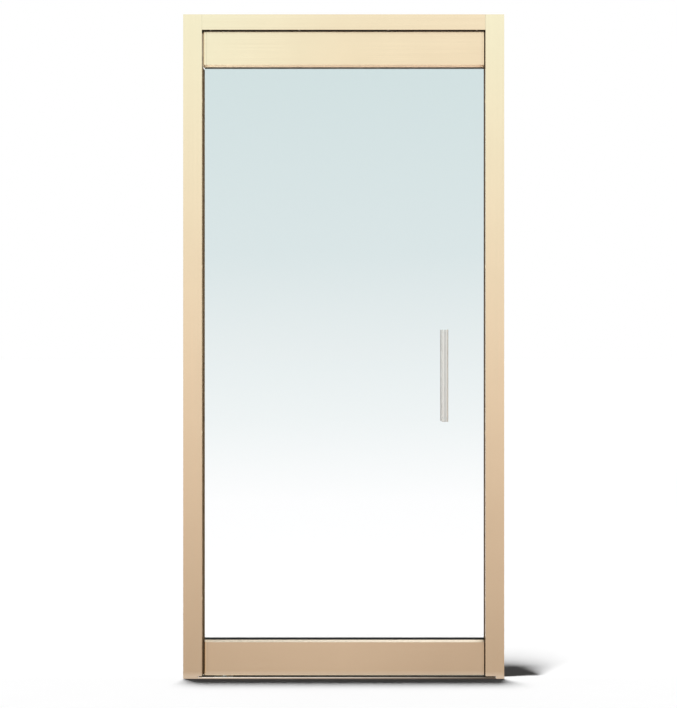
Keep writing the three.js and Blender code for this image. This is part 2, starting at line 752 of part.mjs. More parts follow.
// Piston with a window round the pinion; the window's +Y wall carries the rack.
function closerPiston() {
  const rackTip = pitchRadius - RACK_ADDENDUM;
  const rackRoot = tipRadius + GAP;
  const slope = Math.tan(PRESSURE_ANGLE);
  const halfAt = (y) => toothThickness / 2 + (y - pitchRadius) * slope;
  const x0 = pivotX - tipRadius - pistonTravel - 1;
  const x1 = pivotX + tipRadius + 1;
  const points = [
    [x0, -PISTON.windowSide],
    [x1, -PISTON.windowSide],
    [x1, rackRoot],
  ];
  const firstTooth = Math.floor((x1 - pivotX - halfAt(rackRoot)) / toothPitch - 0.5);
  const lastTooth = Math.ceil((x0 - pivotX + halfAt(rackRoot)) / toothPitch - 0.5);
  for (let k = firstTooth; k >= lastTooth; k--) {
    const centre = pivotX + (k + 0.5) * toothPitch;
    points.push([centre + halfAt(rackRoot), rackRoot], [centre + halfAt(rackTip), rackTip]);
    points.push([centre - halfAt(rackTip), rackTip], [centre - halfAt(rackRoot), rackRoot]);
  }
  points.push([x0, rackRoot]);
  const r = PISTON.radius;
  const body = rodX(r, pivotX - PISTON.back, pivotX + PISTON.front, 0, boreZ);
  return cut(body, alongZ(shapeOf(points), boreZ - r - 1, boreZ + r + 1));
}

// A helix along X, for coil springs.
class Helix extends THREE.Curve {
  constructor(x0, x1, radius, turns, z) {
    super();
    Object.assign(this, { x0, x1, radius, turns, z });
  }
  getPoint(t, target = new THREE.Vector3()) {
    const angle = 2 * Math.PI * this.turns * t;
    return target.set(
      this.x0 + (this.x1 - this.x0) * t,
      this.radius * Math.cos(angle),
      this.z + this.radius * Math.sin(angle),
    );
  }
}

function coilSpring(x0, x1, radius, turns, wire, z) {
  const sides = 6;
  const circle = shapeOf(
    Array.from({ length: sides }, (_, i) => {
      const angle = (2 * Math.PI * i) / sides;
      return [wire * Math.cos(angle), wire * Math.sin(angle)];
    }),
  );
  const path = new Helix(x0 + wire + GAP, x1 - wire - GAP, radius, turns, z);
  return new THREE.ExtrudeGeometry(circle, { steps: turns * 12, extrudePath: path });
}

function springCap() {
  const end = pivotX + CLOSER_FRONT;
  const plug = rodX(CLOSER_BORE - GAP, springEndX, end - GAP, 0, boreZ);
  return join(plug, rodX(6, end - 1, end + 5, 0, boreZ, 6));
}

function closerAssembly() {
  const group = new THREE.Group();
  put(group, "closer_body", closerBody(), castMetal);
  put(group, "closer_shaft_bush", closerBush(), steel);
  put(group, "closer_spring_cap", springCap(), steel);
  put(group, "closer_piston", closerPiston(), steel);
  const springStart = pivotX + PISTON.front;
  const { wire, radius, turns } = SPRING;
  const spring = coilSpring(springStart, springEndX, radius, turns, wire, boreZ);
  put(group, "closer_spring", spring, steel);
  return group;
}

// ---------------------------------------------------------------- electric bolt strike

const boltTop = headBottom + BOLT_LENGTH;
const pinZ = boltTop - PIN_BELOW_TOP;
const caseTop = headBottom + CASE.top;
const plateTop = headBottom + FACEPLATE.thickness;
const plungerZ = headBottom + 26.8;
const camBottom = headBottom + BOLT_SOLID + GAP + 0.3;
const guideTop = headBottom + BOLT_SOLID - 1.5;

function strikeCase() {
  const { x0, x1, half, wall } = CASE;
  const bottom = plateTop + GAP;
  const outer = block(x0, x1, -half, half, bottom, caseTop);
  const inner = block(
    x0 + wall,
    x1 - wall,
    -half + wall,
    half - wall,
    bottom - 1,
    caseTop - wall,
  );
  const leadHole = rodX(5, x0 - 1, x0 + wall + 1, 0, headBottom + 32, ROUND_INSIDE);
  return cut(outer, inner, leadHole);
}

function strikeFaceplate() {
  const { x0, x1, half } = FACEPLATE;
  const plate = block(x0, x1, -half, half, headBottom, plateTop);
  const hole = (x, radius) => rodZ(radius, headBottom - 1, plateTop + 1, x, 0, ROUND_INSIDE);
  const boltHole = rodZ(BOLT_RADIUS + HOLE_PLAY, headBottom - 1, plateTop + 1, BOLT_X, 0);
  return cut(plate, boltHole, hole(x0 + 8, 2.5), hole(x1 - 8, 2.5), hole(BOLT_X - 60, 2));
}

function boltGuide() {
  const bottom = plateTop + GAP;
  const body = block(BOLT_X - 14, BOLT_X + 14, -15, 15, bottom, guideTop);
  return cut(body, rodZ(BOLT_RADIUS + PLAY, bottom - 1, guideTop + 1, BOLT_X, 0));
}

// Round bolt with a slit for the cam plate and a cross hole for its pin.
function strikeBolt() {
  const body = rodZ(BOLT_RADIUS, headBottom, boltTop, BOLT_X, 0);
  const slitBottom = headBottom + BOLT_SOLID;
  const slit = block(
    BOLT_X - 10,
    BOLT_X + 10,
    -BOLT_SLIT,
    BOLT_SLIT,
    slitBottom,
    boltTop + 1,
  );
  const pinHole = rodY(PIN_RADIUS + GAP, -10, 10, BOLT_X, pinZ, ROUND_INSIDE);
  return cut(body, slit, pinHole);
}

// Cam plate: its slot falls at 45 degrees, so the bolt drops as far as the plunger pulls in.
function camPlate() {
  const slotHalf = PIN_RADIUS + GAP;
  const margin = slotHalf + 3.4;
  const plate = block(
    BOLT_X - margin,
    BOLT_X + BOLT_THROW + margin,
    -BOLT_SLIT + GAP,
    BOLT_SLIT - GAP,
    camBottom,
    pinZ + slotHalf + 2.8,
  );
  const tongue = block(
    PLUNGER.x1 - 7.5,
    BOLT_X - margin + 1,
    -BOLT_SLIT + GAP,
    BOLT_SLIT - GAP,
    plungerZ - 4,
    plungerZ + 4,
  );
  const start = new THREE.Vector2(BOLT_X, pinZ);
  const end = new THREE.Vector2(BOLT_X + BOLT_THROW, pinZ - BOLT_THROW);
  const slot = new THREE.Shape()
    .absarc(start.x, start.y, slotHalf, Math.PI / 4, (5 * Math.PI) / 4, false)
    .absarc(end.x, end.y, slotHalf, (5 * Math.PI) / 4, (9 * Math.PI) / 4, false);
  return cut(join(plate, tongue), alongY(slot, -5, 5));
}

function solenoidPlunger() {
  const rod = rodX(PLUNGER.radius, PLUNGER.x0, PLUNGER.x1, 0, plungerZ, ROUND_INSIDE);
  const { collar } = PLUNGER;
  const flange = rodX(7.5, collar, collar + 2.5, 0, plungerZ, ROUND_INSIDE);
  const clevis = block(
    collar + 3,
    PLUNGER.x1 + 1,
    -BOLT_SLIT,
    BOLT_SLIT,
    plungerZ - 6,
    plungerZ + 6,
  );
  return cut(join(rod, flange), clevis);
}

function solenoidCoil() {
  const { x0, x1, radius } = COIL;
  const winding = rodX(radius, x0 + GAP, x1 - GAP, 0, plungerZ);
  const bore = rodX(PLUNGER.radius + HOLE_PLAY, x0 - 1, x1 + 1, 0, plungerZ, ROUND_INSIDE);
  return cut(winding, bore);
}

// U-shaped steel yoke round the coil; the plunger passes through one cheek.
function solenoidYoke() {
  const { x0, x1, radius } = COIL;
  const { cheek } = YOKE;
  const floor = plungerZ - radius - GAP;
  const top = plungerZ + radius;
  const section = shapeOf([
    [x0 - cheek, floor - YOKE.floor],
    [x1 + cheek, floor - YOKE.floor],
    [x1 + cheek, top],
    [x1, top],
    [x1, floor],
    [x0, floor],
    [x0, top],
    [x0 - cheek, top],
  ]);
  const plungerHole = rodX(
    PLUNGER.radius + HOLE_PLAY,
    x1 - 1,
    x1 + cheek + 1,
    0,
    plungerZ,
    ROUND_INSIDE,
  );
  return cut(alongY(section, -radius, radius), plungerHole);
}

// Control board with a relay, a terminal block and a row of capacitors.
function controlBoard() {
  const { x0, x1, half, height, thickness } = BOARD;
  const z = headBottom + height;
  const board = block(x0, x1, -half, half, z, z + thickness);
  const relay = block(268, 284, -11, 1, z + 1, z + 12);
  const terminals = block(246, 254, -12, 12, z + 1, z + 11);
  const capacitors = [6, 11].map((y) => rodZ(2, z + 1, z + 9, 274, y, 12));
  return join(board, relay, terminals, ...capacitors);
}

function strikeAssembly() {
  const group = new THREE.Group();
  put(group, "strike_case", strikeCase(), zincPlate);
  put(group, "strike_faceplate", strikeFaceplate(), stainless);
  put(group, "strike_bolt_guide", boltGuide(), castMetal);
  put(group, "strike_bolt", strikeBolt(), stainless);
  const pinHalf = BOLT_RADIUS - 0.6;
  const pin = rodY(PIN_RADIUS, -pinHalf, pinHalf, BOLT_X, pinZ, ROUND_INSIDE);
  put(group, "strike_bolt_pin", pin, steel);
  put(group, "strike_cam_plate", camPlate(), steel);
  put(group, "solenoid_plunger", solenoidPlunger(), steel);
  put(group, "solenoid_coil", solenoidCoil(), coilTape);
  put(group, "solenoid_yoke", solenoidYoke(), zincPlate);
  const { wire, radius, turns } = PLUNGER_SPRING;
  const springStart = COIL.x1 + YOKE.cheek;
  const spring = coilSpring(springStart, PLUNGER.collar, radius, turns, wire, plungerZ);
  put(group, "plunger_spring", spring, steel);
  put(group, "strike_control_board", controlBoard(), boardGreen);
  return group;
}

// ---------------------------------------------------------------- whole door

function leafAssembly() {
  const group = new THREE.Group();
  group.add(railAssembly("top"), railAssembly("bottom"), pullAssembly());
  put(group, "glass_panel", glassPanel(), clearGlass);
  put(group, "top_pivot_insert", topPivotInsert(), castMetal);
  put(group, "closer_pinion_shaft", pinionShaft(), steel);
  put(group, "bottom_pivot_shoe", bottomPivotShoe(), castMetal);
  put(group, "bolt_receiver", boltReceiver(), castMetal);
  put(group, "bottom_sweep", bottomSweep(), brushPile);
  return group;
}

const door = new THREE.Group();
door.add(frameAssembly(), leafAssembly(), closerAssembly(), strikeAssembly());

export default door;
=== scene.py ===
"""The looks of a framed glass entrance door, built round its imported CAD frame.

Everything is in metres, in the CAD's own frame: +X towards the strike side, +Y away from the viewer,
+Z up, with the origin on the floor at the middle of the door.
"""

import json
import math
import random

import bmesh
import bpy
from mathutils import Matrix, Vector


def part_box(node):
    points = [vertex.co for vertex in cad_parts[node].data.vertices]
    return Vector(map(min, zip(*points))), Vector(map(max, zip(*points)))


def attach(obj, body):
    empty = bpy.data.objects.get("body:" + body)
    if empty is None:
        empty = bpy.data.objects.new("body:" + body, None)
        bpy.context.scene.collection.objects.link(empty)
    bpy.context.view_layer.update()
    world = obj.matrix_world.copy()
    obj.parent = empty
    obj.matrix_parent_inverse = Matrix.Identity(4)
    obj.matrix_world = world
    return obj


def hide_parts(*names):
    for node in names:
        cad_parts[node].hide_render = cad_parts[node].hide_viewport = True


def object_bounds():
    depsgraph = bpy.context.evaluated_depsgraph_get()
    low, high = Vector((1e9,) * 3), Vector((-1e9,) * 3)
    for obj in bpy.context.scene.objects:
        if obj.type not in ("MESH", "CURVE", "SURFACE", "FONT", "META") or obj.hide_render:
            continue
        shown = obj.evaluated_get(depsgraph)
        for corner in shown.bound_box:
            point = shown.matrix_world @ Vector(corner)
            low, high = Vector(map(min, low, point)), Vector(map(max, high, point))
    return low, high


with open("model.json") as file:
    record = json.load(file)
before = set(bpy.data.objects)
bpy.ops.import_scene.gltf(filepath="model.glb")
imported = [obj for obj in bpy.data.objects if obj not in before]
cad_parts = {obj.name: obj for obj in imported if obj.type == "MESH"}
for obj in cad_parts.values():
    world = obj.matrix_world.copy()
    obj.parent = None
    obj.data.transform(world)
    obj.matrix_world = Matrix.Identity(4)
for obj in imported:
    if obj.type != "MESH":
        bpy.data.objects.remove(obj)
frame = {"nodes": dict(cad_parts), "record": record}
cad_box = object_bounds()

MM = 0.001

# Camera: where the photographer stood, from the front face of the frame.
VIEW_DISTANCE = 8.0
VIEW_SIDE = -0.0171
VIEW_HEIGHT = 1.0691
METRES_PER_PIXEL = 3.292 * MM  # at the front face of the frame
PICTURE_HEIGHT = 708  # the picture's longer side, which the sensor spans
SENSOR = 36.0  # millimetres

# Small details
EDGE_BEVEL = 0.6 * MM
GLASS_ARRIS = 0.3 * MM
JAMB_WALL = 3 * MM
FIT_GAP = 0.05 * MM  # between two faces that would otherwise coincide
MERGE_DISTANCE = 1e-6
SMOOTH_SEGMENTS = 96
SMALL_SEGMENTS = 48
FLAT_EDGE = 0.3 * MM  # ring beside a rounded rim, which keeps the long wall's shading straight
SEED = 11

# Stage light. The world fills the floor with a little even light, and two suns add the rest.
FILL = 0.06
FLOOR_ALBEDO = 0.94
FLOOR_REACH = 400.0
FRONT_SHADOW, BACK_SHADOW = 0.2, 0.22  # heights of the sheets that cast the two floor shadows
SIDE_SHADOW = 0.12  # how far the back one stands out past the door's strike side

nodes = frame["nodes"]
jamb_low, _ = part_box("pivot_jamb")
front_y = jamb_low.y
glass_low, glass_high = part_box("glass_panel")


# ---------------------------------------------------------------- material helpers


class Shader:
    """A material or world node tree, with short calls for the nodes used here."""

    def __init__(self, owner):
        owner.use_nodes = True
        self.tree = owner.node_tree
        self.tree.nodes.clear()

    def node(self, kind, inputs=None, **settings):
        """Adds a node. inputs are values or sockets, by name or index, and settings are attributes."""
        made = self.tree.nodes.new(kind)
        for key, value in settings.items():
            setattr(made, key, value)
        for key, value in (inputs or {}).items():
            self.feed(made.inputs[key], value)
        return made

    def feed(self, socket, value):
        if isinstance(value, bpy.types.NodeSocket):
            self.tree.links.new(value, socket)
        else:
            socket.default_value = value

    def math(self, operation, a, b=0.5):
        made = self.node("ShaderNodeMath", {0: a, 1: b}, operation=operation)
        return made.outputs[0]

    def axes(self, source="Object"):
        """Coordinates whole, and as separate X, Y and Z."""
        coords = self.node("ShaderNodeTexCoord")
        split = self.node("ShaderNodeSeparateXYZ", {0: coords.outputs[source]})
        return coords.outputs[source], split.outputs

    def stretched(self, scale):
        """Object coordinates, scaled apart along each axis."""
        coords = self.node("ShaderNodeTexCoord")
        mapping = self.node("ShaderNodeMapping", {0: coords.outputs["Object"], "Scale": scale})
        return mapping.outputs[0]

    def noise(self, vector, scale, detail=2.0, roughness=0.5):
        made = self.node(
            "ShaderNodeTexNoise",
            {"Vector": vector, "Scale": scale, "Detail": detail, "Roughness": roughness},
        )
        return made.outputs["Fac"]

    def spread(self, value, low, high, from_low=0.0, from_high=1.0):
        """Maps from_low and from_high to low and high, and holds those values beyond them."""
        made = self.node(
            "ShaderNodeMapRange",
            {0: value, 1: from_low, 2: from_high, 3: low, 4: high},
        )
        return made.outputs[0]

    def ramp(self, value, stops):
        """Colour by value, through (value, colour) stops."""
        made = self.node("ShaderNodeValToRGB", {0: value})
        elements = made.color_ramp.elements
        while len(elements) < len(stops):
            elements.new(0.5)
        for element, (place, color) in zip(elements, stops):
            element.position = place
            element.color = (*color, 1.0)
        return made.outputs[0]

    def mix(self, factor, a, b, blend="MIX"):
        made = self.node("ShaderNodeMix", data_type="RGBA", blend_type=blend)
        for index, value in ((0, factor), (6, a), (7, b)):
            if isinstance(value, tuple):
                value = (*value, 1.0)
            self.feed(made.inputs[index], value)
        return made.outputs[2]

    def bump(self, height, strength, distance):
        made = self.node(
            "ShaderNodeBump", {"Height": height, "Strength": strength, "Distance": distance}
        )
        return made.outputs[0]

    def surface(self, **inputs):
        """Ends the tree in a principled shader. inputs are its sockets' names in lower case."""
        shader = self.node("ShaderNodeBsdfPrincipled")
        for key, value in inputs.items():
            name = key.replace("_", " ").title().replace("Ior", "IOR")
            if isinstance(value, tuple):
                value = (*value, 1.0)
            self.feed(shader.inputs[name], value)
        output = self.node("ShaderNodeOutputMaterial")
        self.tree.links.new(shader.outputs[0], output.inputs["Surface"])


def new_material(name):
    material = bpy.data.materials.new(name)
    return material, Shader(material)


GRAIN_ALONG = 1.5  # noise cells per metre along the grain
GRAIN_ACROSS = 900.0  # and across it
SILL_LIP = 3.5 * MM
UNSHADED_STRIP = 20 * MM  # strip of the tread, behind a lip, left out of the painted shade
WITHIN_WALL = 0.9 * JAMB_WALL  # depth into a jamb, just short of the inner side of its wall
PAINTED_SHEEN_BAND = (8 * MM, 24 * MM)  # heights between which the painted sheen along the floor fades out


def grain_scale(axis):
    scale = [GRAIN_ACROSS] * 3
    scale["xyz".index(axis)] = GRAIN_ALONG
    return tuple(scale)


def jamb_hollow(s):
    """1 on the faces inside a jamb's hollow, 0 on those outside."""
    _, (x, y, _) = s.axes()
    _, jamb_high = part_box("pivot_jamb")
    across = s.math("ABSOLUTE", x)
    past_inner = s.math("GREATER_THAN", across, -jamb_high.x + WITHIN_WALL)
    before_outer = s.math("LESS_THAN", across, -jamb_low.x - WITHIN_WALL)
    deep = s.math("LESS_THAN", s.math("ABSOLUTE", y), -front_y - WITHIN_WALL)
    return s.math("MULTIPLY", s.math("MULTIPLY", past_inner, before_outer), deep)


def champagne(name, axis, left, middle, right, hollow=False):
    """Satin anodised aluminium with drawing lines along axis, and a faint drift of colour in X. Along
    the floor a paler band is painted on, a painted reflection of the bright floor. A hollow is painted
    dark inside, as shade."""
    material, s = new_material(name)
    lines = s.noise(s.stretched(grain_scale(axis)), 1.0, detail=3.0)
    _, (x, _, z) = s.axes()
    across = s.spread(x, 0.0, 1.0, jamb_low.x, -jamb_low.x)
    anodised = s.ramp(across, [(0.0, left), (0.5, middle), (1.0, right)])
    # Painted light: a paler band along the floor stands in for the reflection of the bright floor.
    floor_sheen = s.spread(z, 1.0, 0.0, PAINTED_SHEEN_BAND[0], PAINTED_SHEEN_BAND[1])
    drift = s.mix(floor_sheen, anodised, (0.97, 0.84, 0.66))
    clouds = s.noise(s.axes()[0], 5.0, detail=3.0)
    darker = s.mix(1.0, drift, (0.93, 0.925, 0.915), blend="MULTIPLY")
    mottled = s.mix(s.spread(clouds, 0.0, 0.5, 0.35, 0.75), drift, darker)
    color = s.mix(s.spread(lines, 0.0, 0.35, 0.4, 0.7), mottled, darker)
    if hollow:
        # Painted shade: the inside of a jamb's hollow is painted near-black.
        color = s.mix(jamb_hollow(s), color, (0.02, 0.017, 0.013))
    s.surface(
        base_color=color,
        metallic=1.0,
        roughness=s.spread(lines, 0.19, 0.25, 0.3, 0.7),
        normal=s.bump(lines, 0.05, 0.02 * MM),
    )
    return material


def brushed_steel(name, axis, color=(0.66, 0.65, 0.63), low=0.24, high=0.36):
    material, s = new_material(name)
    lines = s.noise(s.stretched(grain_scale(axis)), 1.6, detail=4.0, roughness=0.6)
    darker = tuple(0.86 * c for c in color)
    s.surface(
        base_color=s.mix(s.spread(lines, 0.0, 1.0, 0.35, 0.65), darker, color),
        metallic=1.0,
        roughness=s.spread(lines, low, high, 0.3, 0.7),
        normal=s.bump(lines, 0.12, 0.03 * MM),
    )
    return material


def turned_steel():
    material, s = new_material("turned_steel")
    coords = s.axes()[0]
    rings = s.node("ShaderNodeTexWave", {"Vector": coords, "Scale": 180.0, "Distortion": 0.6})
    stains = s.noise(coords, 60.0, detail=4.0)
    stained = s.spread(stains, 0.0, 1.0, 0.4, 0.65)
    s.surface(
        base_color=s.mix(stained, (0.42, 0.41, 0.40), (0.56, 0.56, 0.55)),
        metallic=1.0,
        roughness=s.spread(stains, 0.3, 0.45, 0.3, 0.7),
        normal=s.bump(rings.outputs["Fac"], 0.1, 0.05 * MM),
    )
    return material


def cast_metal():
    material, s = new_material("cast_metal")
    coords = s.axes()[0]
    skin = s.noise(coords, 900.0, detail=5.0, roughness=0.65)
    patches = s.noise(coords, 40.0, detail=2.0)
    s.surface(
        base_color=s.mix(patches, (0.17, 0.175, 0.18), (0.24, 0.245, 0.25)),
        metallic=0.7,
        roughness=s.spread(skin, 0.5, 0.75),
        normal=s.bump(skin, 0.35, 0.15 * MM),
    )
    return material


def zinc_plate():
    material, s = new_material("zinc_plate")
    coords = s.axes()[0]
    spangle = s.node("ShaderNodeTexVoronoi", {"Vector": coords, "Scale": 160.0})
    tint = s.mix(s.spread(spangle.outputs["Distance"], 0.0, 1.0), (0.60, 0.62, 0.64), (0.48, 0.50, 0.52))
    s.surface(
        base_color=tint,
        metallic=1.0,
        roughness=s.spread(s.noise(coords, 200.0), 0.3, 0.45),
    )
    return material


def gasket_rubber(name, clean, dusty):
    material, s = new_material(name)
    coords = s.axes()[0]
    skin = s.noise(coords, 1400.0, detail=3.0)
    dust = s.noise(coords, 25.0, detail=4.0)
    s.surface(
        base_color=s.mix(s.spread(dust, 0.0, 1.0, 0.45, 0.8), clean, dusty),
        roughness=s.spread(skin, 0.55, 0.75),
        normal=s.bump(skin, 0.25, 0.1 * MM),
        specular_ior_level=0.35,
    )
    return material


def bronze_trim():
    """Dark bronze paint on the seal carriers, paler where the pile has rubbed it."""
    material, s = new_material("bronze_trim")
    coords = s.axes()[0]
    fleck = s.noise(coords, 1200.0, detail=2.0)
    wear = s.noise(s.stretched((30.0, 30.0, 6.0)), 1.0, detail=4.0)
    s.surface(
        base_color=s.mix(s.spread(wear, 0.0, 1.0, 0.35, 0.75), (0.33, 0.225, 0.13), (0.42, 0.30, 0.18)),
        metallic=0.9,
        roughness=s.spread(fleck, 0.35, 0.5),
        normal=s.bump(fleck, 0.15, 0.05 * MM),
    )
    return material


def shade_black_paint():
    """Near-black painted shade, which keeps the space above the leaf from showing and darkens the holder
    under it.
    """
    material, s = new_material("shade_black_paint")
    lines = s.noise(s.stretched(grain_scale("x")), 1.0, detail=3.0)
    dust = s.noise(s.axes()[0], 14.0, detail=4.0)
    s.surface(
        base_color=s.mix(s.spread(dust, 0.0, 1.0, 0.4, 0.8), (0.012, 0.008, 0.004), (0.03, 0.022, 0.013)),
        roughness=s.spread(lines, 0.65, 0.8, 0.3, 0.7),
        normal=s.bump(lines, 0.05, 0.02 * MM),
        specular_ior_level=0.12,
    )
    return material


def sill_metal():
    """Champagne lips, darker towards the strike side, along a tread painted near-black as shade under
    the door."""
    material, s = new_material("sill_metal")
    lines = s.noise(s.stretched(grain_scale("x")), 1.0, detail=3.0)
    tread_mottle = s.noise(s.stretched((9.0, 40.0, 40.0)), 1.0, detail=5.0, roughness=0.65)
    _, (x, y, _) = s.axes()
    lip_start = -front_y - SILL_LIP
    across = s.spread(x, 0.0, 1.0, jamb_low.x, -jamb_low.x)
    lip = s.ramp(across, [(0.1, (0.86, 0.74, 0.60)), (0.55, (0.55, 0.46, 0.37)), (0.95, (0.16, 0.13, 0.10))])
    tread = s.spread(s.math("ABSOLUTE", y), 1.0, 0.0, lip_start - UNSHADED_STRIP, lip_start - 0.8 * UNSHADED_STRIP)
    # Painted shade: the tread between the lips is painted near-black, mottled a little.
    tread_shade = s.mix(s.spread(tread_mottle, 0.0, 1.0, 0.4, 0.75), (0.02, 0.015, 0.01), (0.10, 0.075, 0.05))
    s.surface(
        base_color=s.mix(tread, lip, tread_shade),
        metallic=1.0,
        roughness=s.math("ADD", s.spread(lines, 0.22, 0.3), s.math("MULTIPLY", tread, 0.2)),
        normal=s.bump(lines, 0.06, 0.02 * MM),
    )
    return material


def brush_pile():
    material, s = new_material("brush_pile")
    strands = s.noise(s.axes()[0], 1500.0, detail=3.0)
    s.surface(
        base_color=s.mix(strands, (0.02, 0.012, 0.006), (0.075, 0.048, 0.026)),
        roughness=0.9,
        specular_ior_level=0.15,
    )
    return material


def clear_glass():
    """Toughened clear glass. Very shallow waves stand for roller marks."""
    material, s = new_material("clear_glass")
    waves = s.noise(s.stretched((2.0, 2.0, 7.0)), 1.0, detail=1.0)
    s.surface(
        base_color=(0.985, 0.995, 0.992),
        roughness=0.0,
        ior=1.5,
        transmission_weight=1.0,
        normal=s.bump(waves, 0.02, 0.2 * MM),
    )
    return material


def coil_tape():
    material, s = new_material("coil_tape")
    wraps = s.node("ShaderNodeTexWave", {"Scale": 130.0, "Distortion": 0.4}, bands_direction="X")
    s.surface(
        base_color=s.mix(wraps.outputs["Fac"], (0.50, 0.27, 0.05), (0.68, 0.40, 0.09)),
        roughness=0.35,
        coat_weight=0.3,
    )
    return material


def circuit_board():
    material, s = new_material("circuit_board")
    coords = s.axes()[0]
    cells = s.node("ShaderNodeTexVoronoi", {"Vector": coords, "Scale": 260.0}, distance="MANHATTAN")
    tracks = s.spread(cells.outputs["Distance"], 0.0, 1.0, 0.25, 0.3)
    s.surface(
        base_color=s.mix(tracks, (0.03, 0.20, 0.10), (0.02, 0.13, 0.065)),
        roughness=0.35,
        specular_ior_level=0.6,
    )
    return material


def black_nylon():
    material, s = new_material("black_nylon")
    skin = s.noise(s.axes()[0], 700.0, detail=3.0)
    s.surface(
        base_color=s.mix(skin, (0.02, 0.02, 0.02), (0.045, 0.045, 0.045)),
        roughness=s.spread(skin, 0.4, 0.6),
        normal=s.bump(skin, 0.2, 0.1 * MM),
    )
    return material


# Anodised parts take their grain from the way each one was drawn. The upper ones drift from yellow
# at the pivot side to pink at the strike side.
TAN = (0.83, 0.665, 0.47)
YELLOW, PINK = (0.83, 0.675, 0.48), (0.81, 0.585, 0.405)
upright = champagne("champagne_upright", "z", TAN, TAN, TAN, hollow=True)
level = champagne("champagne_level", "x", (0.85, 0.68, 0.48), (0.92, 0.74, 0.53), (0.82, 0.655, 0.465))
upper_level = champagne("champagne_upper_level", "x", YELLOW, (0.805, 0.60, 0.417), PINK)
pull_steel = brushed_steel("satin_pull", "z", color=(0.68, 0.67, 0.65))
plate_steel = brushed_steel("satin_plate", "x")
screw_steel = brushed_steel("screw_steel", "y", color=(0.58, 0.57, 0.55), low=0.3, high=0.4)
BY_SLOT = {
    "champagne_aluminium": level,
    "bronze_trim": bronze_trim(),
    "clear_glass": clear_glass(),
    "satin_stainless": plate_steel,
    "steel": turned_steel(),
    "cast_metal": cast_metal(),
    "gasket_rubber": gasket_rubber("gasket_rubber", (0.018, 0.018, 0.017), (0.05, 0.048, 0.045)),
    "brush_pile": brush_pile(),
    "zinc_plate": zinc_plate(),
    "coil_tape": coil_tape(),
    "circuit_board": circuit_board(),
}
UPPER = ("head_", "top_rail_")  # how the names of the upper parts start
nylon = black_nylon()
# Painted shade: the top gaskets take a lighter brown copy of the rubber, standing in for the shaded brown
# lip beside them.
lip_shade_rubber = gasket_rubber("lip_shade_rubber", (0.10, 0.09, 0.065), (0.15, 0.135, 0.10))
shade_black_metal = shade_black_paint()
BY_NODE = {
    # The soffit is painted near-black, as shade above the leaf.
    "head_soffit_plate": shade_black_metal,
    "sill_plate": sill_metal(),
    # The top gaskets take the lighter brown copy: painted shade of the lip beside them.
    "top_front_gasket": lip_shade_rubber,
    "top_back_gasket": lip_shade_rubber,
}


def dress_nodes():
    for part in frame["record"]["subparts"]:
        name, slot = part["node"], part["material_slot"]
        material = BY_SLOT[slot]
        if slot == "champagne_aluminium":
            if name.endswith("jamb"):
                material = upright
            elif name.startswith(UPPER):
                material = upper_level
        material = BY_NODE.get(name, material)
        nodes[name].data.materials.clear()
        nodes[name].data.materials.append(material)


SHARP = math.radians(40)
BEVEL_SEGMENTS = 2


def soften_edges(names, width):
    for name in names:
        bevel = nodes[name].modifiers.new("edges", "BEVEL")
        bevel.width = width
        bevel.segments = BEVEL_SEGMENTS
        bevel.limit_method = "ANGLE"
        bevel.angle_limit = SHARP
        bevel.use_clamp_overlap = True


# ---------------------------------------------------------------- piece helpers


def add_object(name, data):
    made = bpy.data.objects.new(name, data)
    bpy.context.scene.collection.objects.link(made)
    return made


def finish_piece(name, mesh, material, body, smooth=None):
    """Puts a bmesh into the scene as a piece. smooth is the largest angle shaded as a curve."""
    data = bpy.data.meshes.new(name)
    bmesh.ops.recalc_face_normals(mesh, faces=mesh.faces)
    if smooth is not None:
        for edge in mesh.edges:
            edge.smooth = len(edge.link_faces) == 2 and edge.calc_face_angle() < smooth
        for face in mesh.faces:
            face.smooth = True
    mesh.to_mesh(data)
    mesh.free()
    data.materials.append(material)
    piece = add_object(name, data)
    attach(piece, body)
    return piece


SMOOTH = math.radians(30)


def box_into(mesh, low, high):
    """Adds a box to a bmesh."""
    low, high = Vector(low), Vector(high)
    made = bmesh.ops.create_cube(mesh, size=1.0)["verts"]
    size = high - low
    matrix = Matrix.Translation((low + high) / 2) @ Matrix.Diagonal((*size, 1.0))
    bmesh.ops.transform(mesh, matrix=matrix, verts=made)


def box_between(mesh, a, b):
    """Adds a box between any two opposite corners."""
    box_into(mesh, Vector(map(min, a, b)), Vector(map(max, a, b)))


def lathe(mesh, profile, matrix, segments=SMOOTH_SEGMENTS):
    """Turns a profile of (radius, height) round Z, then places it. Radius 0 closes an end."""
    rings = []
    for radius, height in profile:
        if radius == 0:
            rings.append([mesh.verts.new((0, 0, height))])
            continue
        angles = [2 * math.pi * i / segments for i in range(segments)]
        rings.append(
            [mesh.verts.new((radius * math.cos(a), radius * math.sin(a), height)) for a in angles]
        )
    for lower, upper in zip(rings, rings[1:]):
        for i in range(segments):
            j = (i + 1) % segments
            corners = [lower[i % len(lower)], lower[j % len(lower)]]
            corners += [upper[j % len(upper)], upper[i % len(upper)]]
            unique = list(dict.fromkeys(corners))
            if len(unique) > 2:
                mesh.faces.new(unique)
    bmesh.ops.transform(mesh, matrix=matrix, verts=[v for ring in rings for v in ring])


def rounded(radius, low, high, edge):
    """Profile of a closed cylinder with rounded rims."""
    steps = 4
    arc = [math.pi / 2 * i / steps for i in range(steps + 1)]
    bottom = [(radius - edge + edge * math.sin(a), low + edge - edge * math.cos(a)) for a in arc]
    top = [(radius - edge + edge * math.cos(a), high - edge + edge * math.sin(a)) for a in arc]
    return [(0, low), *bottom, *top, (0, high)]


